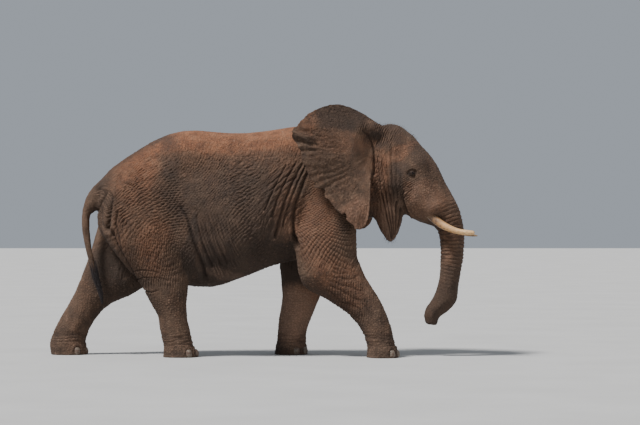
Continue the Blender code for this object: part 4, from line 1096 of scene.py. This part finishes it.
def hide_material():
    """Dry hide: grey-brown skin with red dust on it, creases and a net of fine wrinkles darkened as painted shade,
    and painted light and shade from the skin's marks.
    """
    n = Nodes("hide", 0.85)
    n.shader.inputs["Specular IOR Level"].default_value = 0.25
    marks = n.add("ShaderNodeAttribute", attribute_name="marks")
    split = n.add("ShaderNodeSeparateColor")
    n.link(marks.outputs["Color"], split.inputs["Color"])
    dust_and_light, damp_and_shade, crease_shade = (split.outputs[i] for i in range(3))
    pale_and_light = marks.outputs["Alpha"]
    # A net of fine wrinkles, from two sizes of cell.
    coarse = n.range(n.cells(34.0, n.place((1.0, 1.0, 1.35), 0.05)), 0.0, 0.16)
    small = n.range(n.cells(85.0, n.place((1.0, 1.0, 1.25), 0.03)), 0.0, 0.18)
    grain = n.noise(140.0, 4.0)
    mottle = n.noise(9.0, 6.0)
    blotch = n.noise(2.3, 5.0)
    skin = n.steps(mottle, (0.30, (0.080, 0.049, 0.032)), (0.50, (0.126, 0.077, 0.050)),
                   (0.72, (0.190, 0.121, 0.082)))
    skin = n.mix(n.range(blotch, 0.40, 0.66, 0.0, 0.5), skin, (0.150, 0.084, 0.052))
    dust_and_light_tone = n.steps(mottle, (0.30, (0.215, 0.086, 0.042)), (0.52, (0.295, 0.124, 0.062)),
                    (0.74, (0.365, 0.168, 0.090)))
    # Dust, and painted light where the marks put it.
    amount = n.math("MULTIPLY", dust_and_light, n.range(n.noise(26.0, 5.0), 0.28, 0.62, 0.45, 1.05), clamp=True)
    colour = n.mix(amount, skin, dust_and_light_tone)
    # Damp skin, and painted shade where the marks put it.
    colour = n.mix(n.math("MULTIPLY", damp_and_shade, n.range(blotch, 0.3, 0.6, 0.65, 0.95), clamp=True),
                   colour, (0.046, 0.032, 0.024))
    # Bare pale skin, and painted light where the marks put it.
    colour = n.mix(n.math("MULTIPLY", pale_and_light, 0.75), colour, (0.300, 0.190, 0.135))
    # Painted shade along the lines of the fine net of wrinkles.
    lines_dark = n.math("MULTIPLY", n.math("SUBTRACT", 1.0, coarse), 0.16)
    colour = n.mix(lines_dark, colour, (0.030, 0.021, 0.017))
    colour = n.mix(n.math("MULTIPLY", n.math("SUBTRACT", 1.0, small), 0.22), colour, (0.034, 0.024, 0.019))
    # Painted shade in the creases.
    colour = n.mix(n.math("MULTIPLY", crease_shade, 0.78), colour, (0.018, 0.011, 0.008))
    normal = n.bump(coarse, 0.0035, 0.9)
    normal = n.bump(small, 0.0016, 0.8, normal)
    normal = n.bump(grain, 0.0012, 0.6, normal)
    rough = n.range(mottle, 0.3, 0.7, 0.74, 0.92)
    return n.finish(colour, normal, rough)


def ivory_material():
    """Worn ivory: cream, with fine lengthwise grain, brown stain towards the socket, and painted shade on the far
    tusk.
    """
    n = Nodes("ivory", 0.42)
    n.shader.inputs["Subsurface Weight"].default_value = 0.08
    n.shader.inputs["Subsurface Radius"].default_value = (0.012, 0.008, 0.005)
    marks = n.add("ShaderNodeAttribute", attribute_name="along").outputs["Fac"]
    grain = n.noise(18.0, 6.0, n.place((1.0, 6.0, 9.0)))
    spots = n.noise(24.0, 4.0)
    colour = n.steps(grain, (0.30, (0.46, 0.25, 0.10)), (0.52, (0.66, 0.41, 0.185)), (0.75, (0.78, 0.55, 0.29)))
    root = n.range(marks, 0.62, 0.20)
    colour = n.mix(n.math("MULTIPLY", n.range(marks, 0.75, 0.25), 0.55), colour, (0.44, 0.205, 0.075))
    # The far tusk is darkened all over: painted shade.
    far_tusk_shade = n.add("ShaderNodeAttribute", attribute_name="far_tusk_shade").outputs["Fac"]
    colour = n.mix(n.math("MULTIPLY", far_tusk_shade, 0.65), colour, (0.15, 0.090, 0.045))
    stain = n.math("MULTIPLY", root, n.range(spots, 0.50, 0.62), clamp=True)
    colour = n.mix(stain, colour, (0.20, 0.105, 0.055))
    colour = n.mix(n.math("MULTIPLY", n.range(marks, 0.30, 0.12), 0.85), colour, (0.10, 0.058, 0.036))
    crack = n.cells(16.0, n.place((0.35, 3.0, 4.0), 0.02))
    lines_dark = n.range(crack, 0.0, 0.03, 0.4, 0.0)
    colour = n.mix(lines_dark, colour, (0.26, 0.15, 0.08))
    normal = n.bump(grain, 0.0012, 0.5)
    normal = n.bump(n.range(crack, 0.0, 0.04), 0.0008, 0.6, normal)
    return n.finish(colour, normal, n.range(spots, 0.35, 0.65, 0.32, 0.55))


def horn_material():
    """Scuffed toenail horn with faint growth lines and dried mud."""
    n = Nodes("horn", 0.6)
    bands = n.noise(30.0, 3.0, n.place((0.6, 0.6, 5.0)))
    mud = n.noise(20.0, 5.0)
    colour = n.steps(bands, (0.3, (0.10, 0.075, 0.055)), (0.55, (0.165, 0.125, 0.092)),
                     (0.75, (0.24, 0.185, 0.14)))
    colour = n.mix(n.range(mud, 0.46, 0.58), colour, (0.095, 0.056, 0.038))
    normal = n.bump(bands, 0.0015, 0.6)
    return n.finish(colour, n.bump(mud, 0.0015, 0.5, normal), n.range(mud, 0.4, 0.6, 0.5, 0.8))


def eye_material():
    """A wet brown eye: dark pupil and brown iris, by the distance from the eye's own axis."""
    n = Nodes("eye", 0.16)
    n.shader.inputs["Specular IOR Level"].default_value = 0.25
    n.shader.inputs["Coat Weight"].default_value = 0.08
    n.shader.inputs["Coat Roughness"].default_value = 0.03
    reach = n.add("ShaderNodeAttribute", attribute_name="reach").outputs["Fac"]
    rays = n.noise(60.0, 3.0)
    ring = n.math("ADD", reach, n.math("MULTIPLY", n.math("SUBTRACT", rays, 0.5), 0.10))
    colour = n.steps(ring, (0.0, (0.004, 0.003, 0.003)), (0.27, (0.005, 0.003, 0.003)),
                     (0.31, (0.032, 0.014, 0.006)), (0.48, (0.052, 0.023, 0.009)),
                     (0.60, (0.010, 0.006, 0.005)), (0.66, (0.036, 0.024, 0.018)), (1.0, (0.040, 0.026, 0.020)))
    return n.finish(colour)


def hair_material():
    """Coarse, wiry hair with dust in it."""
    n = Nodes("hair", 0.6)
    n.shader.inputs["Specular IOR Level"].default_value = 0.2
    tone = n.noise(35.0, 2.0)
    colour = n.steps(tone, (0.3, (0.013, 0.009, 0.007)), (0.6, (0.046, 0.030, 0.020)),
                     (0.8, (0.110, 0.068, 0.042)))
    return n.finish(colour, n.bump(n.noise(300.0, 2.0), 0.0005, 0.4))


# ---------------------------------------------------------------- eyes, tusks and nails
def attribute(obj, name, values):
    obj.data.attributes.new(name, "FLOAT", "POINT").data.foreach_set("value", np.asarray(values, np.float32))


def lathe(rings, columns):
    """Quads between rings of points, and the grid's vertex numbers."""
    index = np.arange(rings * columns).reshape(rings, columns)
    after = np.roll(index, -1, axis=1)
    return np.stack([index[:-1], after[:-1], after[1:], index[1:]], axis=-1).reshape(-1, 4)


def make_eyes():
    """Eyeballs with a raised cornea; the iris is drawn by the distance from the eye's axis."""
    look = eye_material()
    for name, side in SIDES:
        centre, outward, forward, upward = eye_frame(name, side)
        gaze = outward * 0.93 + forward * 0.28 - upward * 0.10
        gaze /= np.linalg.norm(gaze)
        radius = (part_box("eye_" + name)[1].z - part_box("eye_" + name)[0].z) / 2
        bm = bmesh.new()
        bmesh.ops.create_uvsphere(bm, u_segments=64, v_segments=40, radius=radius)
        mesh = bpy.data.meshes.new("eyeball_" + name)
        bm.to_mesh(mesh)
        bm.free()
        points = points_of(mesh)
        way = points / np.linalg.norm(points, axis=1, keepdims=True)
        reach = np.arccos(np.clip(way @ gaze, -1, 1)) / (math.pi / 2)
        points = way * (radius - 0.0012 + 0.0022 * ramp(reach, 0.42, 0.25))[:, None] + centre
        mesh.vertices.foreach_set("co", points.astype(np.float32).ravel())
        mesh.shade_smooth()
        obj = bpy.data.objects.new("eyeball_" + name, mesh)
        bpy.context.scene.collection.objects.link(obj)
        attribute(obj, "reach", reach)
        obj.data.materials.append(look)
        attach(obj, "root")
        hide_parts("eye_" + name)


def spline(points, count):
    """A smooth open line near the points, as a clamped cubic B-spline."""
    points = np.asarray(points, float)
    order = 4
    last = len(points) - order + 1
    knots = np.concatenate([[0] * (order - 1), np.arange(last + 1), [last] * (order - 1)])
    t = np.linspace(0, knots[-1] - 1e-9, count)
    basis = [((knots[i] <= t) & (t < knots[i + 1])).astype(float) for i in range(len(knots) - 1)]
    for k in range(2, order + 1):
        made = []
        for i in range(len(knots) - k):
            left = knots[i + k - 1] - knots[i]
            right = knots[i + k] - knots[i + 1]
            first = (t - knots[i]) / left * basis[i] if left else 0.0
            second = (knots[i + k] - t) / right * basis[i + 1] if right else 0.0
            made.append(first + second)
        basis = made
    return np.stack(basis[:len(points)], axis=1) @ points


TUSK_RINGS, TUSK_SIDES = 90, 40
# The right tusk turns up at its tip, and is thicker and blunter there; the left one droops and is plain.
TIP_RISE = {"right": 0.022, "left": -0.026}


def finished(obj, weld=False):
    """Close the mesh's open rings, cut the caps into triangles and turn every face outward."""
    bm = bmesh.new()
    bm.from_mesh(obj.data)
    if weld:
        bmesh.ops.remove_doubles(bm, verts=bm.verts, dist=1e-5)
    bmesh.ops.holes_fill(bm, edges=[e for e in bm.edges if e.is_boundary])
    bmesh.ops.triangulate(bm, faces=[f for f in bm.faces if len(f.verts) > 4])
    bmesh.ops.recalc_face_normals(bm, faces=bm.faces)
    bm.to_mesh(obj.data)
    bm.free()
    obj.data.shade_smooth()


def unit(vectors):
    return vectors / np.linalg.norm(vectors, axis=-1, keepdims=True)


def make_tusks():
    """Smooth tusks, a little oval, with a blunt worn tip."""
    look = ivory_material()
    share = np.linspace(0, 1, TUSK_RINGS)
    for name, side in SIDES:
        path = np.array([(x, side * y, z, radius) for (x, y, z), radius in TUSK_PATH])
        line = spline(path, TUSK_RINGS)
        line[:, 2] += TIP_RISE[name] * share ** 2
        if side < 0:
            line[:, 3] = 1.08 * line[:, 3] + 0.014 * ramp(share, 0.55, 1.0)
        middle, radius = to_row(line[:, :3]), line[:, 3]
        way = unit(np.gradient(middle, axis=0))
        across = unit(np.cross(way, (0.0, 0.0, 1.0)))
        rise = np.cross(across, way)
        angle = np.linspace(0, 2 * math.pi, TUSK_SIDES, endpoint=False)
        blunt = np.sqrt(np.clip((1 - share) / 0.03, 0.0004, 1.0))
        oval = 1 - 0.02 * np.sin(9 * share)[:, None] * np.cos(2 * angle)[None]
        width = (radius * blunt)[:, None] * oval
        points = middle[:, None] + (across[:, None] * np.cos(angle)[None, :, None]
                                    + rise[:, None] * np.sin(angle)[None, :, None]) * width[..., None]
        obj = mesh_object("ivory_" + name, points.reshape(-1, 3), lathe(TUSK_RINGS, TUSK_SIDES))
        finished(obj)
        attribute(obj, "along", np.repeat(share, TUSK_SIDES))
        # The far tusk carries painted shade.
        attribute(obj, "far_tusk_shade", np.full(TUSK_RINGS * TUSK_SIDES, float(side > 0)))
        obj.data.materials.append(look)
        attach(obj, "root")
        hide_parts("tusk_" + name)


NAIL_SIDES, NAIL_RINGS = 48, 25
NAIL_HALF_WIDTH, NAIL_HALF_HEIGHT = 0.043, 0.047
NAIL_DOME, NAIL_DEPTH = 0.020, 0.018


def nail_shield(name, number, heel):
    """One nail: a rounded-square outline, flat below and arched above, with a domed, ridged face."""
    low, high = (np.array(corner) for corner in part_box(name))
    centre = (low + high) / 2
    outward = unit((centre - heel) * (1.0, 1.0, 0.0))
    aside = np.array((-outward[1], outward[0], 0.0))
    v, u = np.meshgrid(np.linspace(0, 1, NAIL_RINGS),
                       np.linspace(0, 2 * math.pi, NAIL_SIDES, endpoint=False), indexing="ij")
    u, v = u.ravel(), v.ravel()
    square = (np.abs(np.cos(u)) ** 3.0 + np.abs(np.sin(u)) ** 3.0) ** (-1 / 3.0)
    across = NAIL_HALF_WIDTH * np.cos(u) * square * v * (1 - 0.10 * np.sin(u))
    above = NAIL_HALF_HEIGHT * np.sin(u) * square * v
    dome = NAIL_DOME * (1 - v ** 2.4) + 0.0012 * np.sin(above * 620 + number) * (1 - v ** 6)
    out = dome - across ** 2 / 0.16 - 0.16 * above - 0.001
    points = centre + outward * out[:, None] + aside * across[:, None]
    points[:, 2] = np.maximum(centre[2] + above, 0.001)
    return np.concatenate([points, points[-NAIL_SIDES:] - outward * NAIL_DEPTH])


def make_nails():
    """Toenails: broad domed shields with growth ridges, one piece for each foot."""
    look = horn_material()
    for foot in ("foreleg_right", "foreleg_left", "hindleg_right", "hindleg_left"):
        names = sorted(n for n in NODES if n.startswith(foot + "_nail_"))
        low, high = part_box(foot + "_foot")
        heel = np.array(((low.x + high.x) / 2 - 0.02, (low.y + high.y) / 2, 0.0))
        shields = [nail_shield(name, number, heel) for number, name in enumerate(names)]
        faces = lathe(NAIL_RINGS + 1, NAIL_SIDES)
        stacked = np.vstack([faces + i * len(shields[0]) for i in range(len(shields))])
        obj = mesh_object("toenails_" + foot, np.vstack(shields), stacked)
        finished(obj, weld=True)
        obj.data.materials.append(look)
        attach(obj, "root")
        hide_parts(*names)


# ---------------------------------------------------------------- hair
HAIR_RINGS, HAIR_SIDES = 7, 3
UV_PATCH = 0.003              # how large each hair is on its OFBake map


def make_hairs(name, roots, unwrap, replaced=()):
    """Tapered, bent hairs as one mesh. Each root is (place, way, bend, length, thickness)."""
    t = np.linspace(0, 1, HAIR_RINGS)[:, None]
    patch = np.repeat(np.hstack([t, 0 * t]), HAIR_SIDES, axis=0) - 0.5
    points, faces, uv = [], [], []
    for number, (place, way, bend, length, thickness) in enumerate(roots):
        line = place + way * length * t + bend * length * t ** 2
        tangent = unit(way + 2 * bend * t)
        side = unit(np.cross(tangent, (0.31, 0.87, 0.38)))
        other = np.cross(tangent, side)
        width = thickness * (1 - 0.85 * t ** 1.5)
        ring = [line + width * (side * math.cos(a) + other * math.sin(a))
                for a in np.arange(HAIR_SIDES) * 2 * math.pi / HAIR_SIDES]
        points.append(np.stack(ring, axis=1).reshape(-1, 3))
        faces.append(lathe(HAIR_RINGS, HAIR_SIDES) + number * HAIR_RINGS * HAIR_SIDES)
        uv.append(unwrap[number] + UV_PATCH * patch)
    obj = mesh_object(name, np.vstack(points), np.vstack(faces))
    layer = obj.data.uv_layers.new(name="OFBake")
    corner = np.empty(len(obj.data.loops), np.int32)
    obj.data.loops.foreach_get("vertex_index", corner)
    # The last two corners of each face are moved aside, so that it has an area on the map.
    shift = np.zeros((len(corner), 2))
    shift[:, 1] = UV_PATCH / 2 * (np.arange(len(corner)) % 4 > 1)
    layer.data.foreach_set("uv", (np.vstack(uv)[corner] + shift).astype(np.float32).ravel())
    obj.data.shade_smooth()
    obj.data.materials.append(bpy.data.materials.get("hair") or hair_material())
    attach(obj, "root")
    if replaced:
        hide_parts(*replaced)
    return obj


# The middle of the tail's end and tuft, downwards, in the row's frame.
TUFT_LINE = (
    (-2.150, 0.0, 1.250), (-2.118, 0.0, 1.120), (-2.100, 0.0, 1.030), (-2.080, 0.0, 0.940),
    (-2.038, 0.0, 0.825), (-2.018, 0.0, 0.732), (-2.005, 0.0, 0.645),
)
TUFT_HAIRS = 1900


def make_tuft():
    """The tail's tuft: coarse hairs that grow along the end of the tail and past it."""
    random = np.random.default_rng(5)
    roots, unwrap = [], []
    for _ in range(TUFT_HAIRS):
        share = random.uniform(0.0, 1.0) ** 0.45 * 0.74
        angle = random.uniform(0, 2 * math.pi)
        start = line_at(TUFT_LINE, np.array([share]))[0]
        out = np.array((math.cos(angle), 0.80 * math.sin(angle), 0.0))
        spread = 0.043 - 0.007 * ramp(share, 0.15, 0.55)
        place = start + out * spread * (random.uniform(0.2, 1.0) if share > 0.45 else 1.0)
        end_share = min(1.0, share + random.uniform(0.12, 0.20 + 0.26 * share))
        end = line_at(TUFT_LINE, np.array([end_share]))[0]
        end = end + out * random.uniform(0.3, 1.0) * (0.052 - 0.040 * ramp(end_share, 0.45, 1.0))
        way = end - place
        length = np.linalg.norm(way)
        bend = out * random.uniform(-0.03, 0.06)
        roots.append((place, way / length - bend, bend, length, random.uniform(0.0008, 0.0017)))
        unwrap.append((0.05 + 0.9 * angle / (2 * math.pi), 0.05 + 0.9 * share / 0.72))
    make_hairs("tuft_hair", roots, np.array(unwrap), ("tail_tuft",))


# The lashes of each lid: how many, height of their roots, bend and length, both as ranges.
LASHES = (
    (34, 0.0200, (-0.40, -0.10), (0.026, 0.048)),
    (14, -0.0155, (0.10, 0.10), (0.008, 0.016)),
)
LASH_ROOT = 0.0355            # how far the roots lie from the eyeball's middle
LASH_THICKNESS = 0.00036


def make_lashes():
    """Long lashes on the upper lids, short ones below."""
    random = np.random.default_rng(9)
    roots, unwrap = [], []
    for name, side in SIDES:
        centre, outward, forward, upward = eye_frame(name, side)
        for count, height, bends, lengths in LASHES:
            for _ in range(count):
                a = random.uniform(-0.028, 0.028)
                h = height * max(1 - (a / OPENING) ** 2, 0.0) ** 0.8 + 0.12 * a
                reach = math.sqrt(max(LASH_ROOT ** 2 - a * a - h * h, 0.0)) + 0.0005
                place = centre + forward * a + upward * h + outward * reach
                sway = random.uniform(-0.25, 0.25)
                way = unit(outward + forward * (a * 18 + sway) - upward * 0.35)
                bend = upward * (random.uniform(*bends) if height > 0 else bends[0])
                length = random.uniform(*lengths)
                roots.append((place, way, bend, length, LASH_THICKNESS))
                unwrap.append((0.25 + 0.5 * (side > 0) + a * 4, 0.5 + h * 8))
    make_hairs("lashes", roots, np.array(unwrap))


BRISTLES = 1500
BRISTLE_EDGE = 0.05           # no bristle grows this near the edge of the solids' box


def make_bristles(skin):
    """Sparse bristles on the lower lip, the crown, the trunk, the back and the end of the tail."""
    random = np.random.default_rng(17)
    points, normals = points_of(skin.data), normals_of(skin.data)
    x, y, z = to_straight(points).T
    middle = np.abs(y)
    chance = 14 * ((z < 1.50) & (x > 1.5) & (x < 1.80) & (z > 1.38))
    chance = chance + 2.0 * ((z > 2.70) & (x > 1.3) & (x < 1.95) & (middle < 0.3))
    chance = chance + 0.7 * ((x > 2.0) & (z < 2.1)) + 0.5 * ((z > 2.72) & (x < 0.3) & (middle < 0.25))
    chance = chance + 5.0 * ((x < -2.05) & (z > 1.0) & (z < 1.35))
    picked = random.choice(len(points), BRISTLES, replace=False, p=chance / chance.sum())
    down = np.array((-0.09, 0.0, -0.33))
    roots, unwrap = [], []
    for i in picked:
        way = normals[i] * 0.8 + down
        lip = 1.38 < z[i] < 1.52 and 1.5 < x[i] < 1.8
        if lip:
            way = np.array((0.1, 0.0, -1.0)) + 0.5 * normals[i]
        length = random.uniform(0.02, 0.05) * (1.3 if lip else 1.0)
        bend = random.uniform(-0.15, 0.15, 3)
        roots.append((points[i] - normals[i] * 0.003, unit(way), bend, length, 0.0005))
        unwrap.append((0.05 + 0.9 * (x[i] + 2.8) / 5.6, 0.05 + 0.45 * (z[i] / 3.2) + 0.45 * (y[i] > 0)))
    low, high = np.array(CAD_BOX[0]) + BRISTLE_EDGE, np.array(CAD_BOX[1]) - BRISTLE_EDGE
    keep = [n for n, root in enumerate(roots) if (root[0] > low).all() and (root[0] < high).all()]
    make_hairs("bristles", [roots[n] for n in keep], np.array(unwrap)[keep])


# ---------------------------------------------------------------- stage
CAMERA_PLACE = (0.72 + ROW_SHIFT, -30.0, 1.79)
FOCAL_LENGTH = 135.0
FLOOR_REACH = 90
# Each light: name, where it shines from, how wide it looks in degrees, and its strength.
LIGHTS = (("key", (-0.45, -0.30, 0.85), 11.0, 5.2), ("fill", (0.70, -0.60, 0.40), 60.0, 0.35))


def make_stage():
    """A plain pale floor, soft studio light, and the camera far off to the animal's right."""
    corners = FLOOR_REACH * np.array([(-1, -1, 0), (1, -1, 0), (1, 1, 0), (-1, 1, 0)], float)
    floor = mesh_object("floor", corners, np.array([[0, 1, 2, 3]]))
    n = Nodes("floor", 0.9)
    n.shader.inputs["Specular IOR Level"].default_value = 0.1
    tone = n.noise(0.8, 3.0)
    floor.data.materials.append(n.finish(n.steps(tone, (0.3, (0.46, 0.45, 0.435)), (0.7, (0.50, 0.49, 0.475)))))
    world = bpy.data.worlds.new("studio")
    world.use_nodes = True
    world.node_tree.nodes["Background"].inputs["Color"].default_value = (0.62, 0.68, 0.76, 1.0)
    world.node_tree.nodes["Background"].inputs["Strength"].default_value = 0.55
    bpy.context.scene.world = world
    for name, way, spread, power in LIGHTS:
        light = bpy.data.lights.new(name, "SUN")
        light.angle = math.radians(spread)
        light.energy = power
        lamp = bpy.data.objects.new(name, light)
        bpy.context.scene.collection.objects.link(lamp)
        lamp.location = 10 * Vector(way)
        lamp.rotation_euler = (-Vector(way)).to_track_quat("-Z", "Y").to_euler()
    lens = bpy.data.cameras.new("camera")
    lens.sensor_width = 36.0
    lens.lens = FOCAL_LENGTH
    lens.clip_end = 400.0
    camera = bpy.data.objects.new("camera", lens)
    camera.location = CAMERA_PLACE
    camera.rotation_euler = (math.radians(90), 0.0, 0.0)
    bpy.context.scene.collection.objects.link(camera)
    bpy.context.scene.camera = camera


make_stage()
hide = make_skin()
make_eyes()
make_tusks()
make_nails()
make_tuft()
make_lashes()
make_bristles(hide)
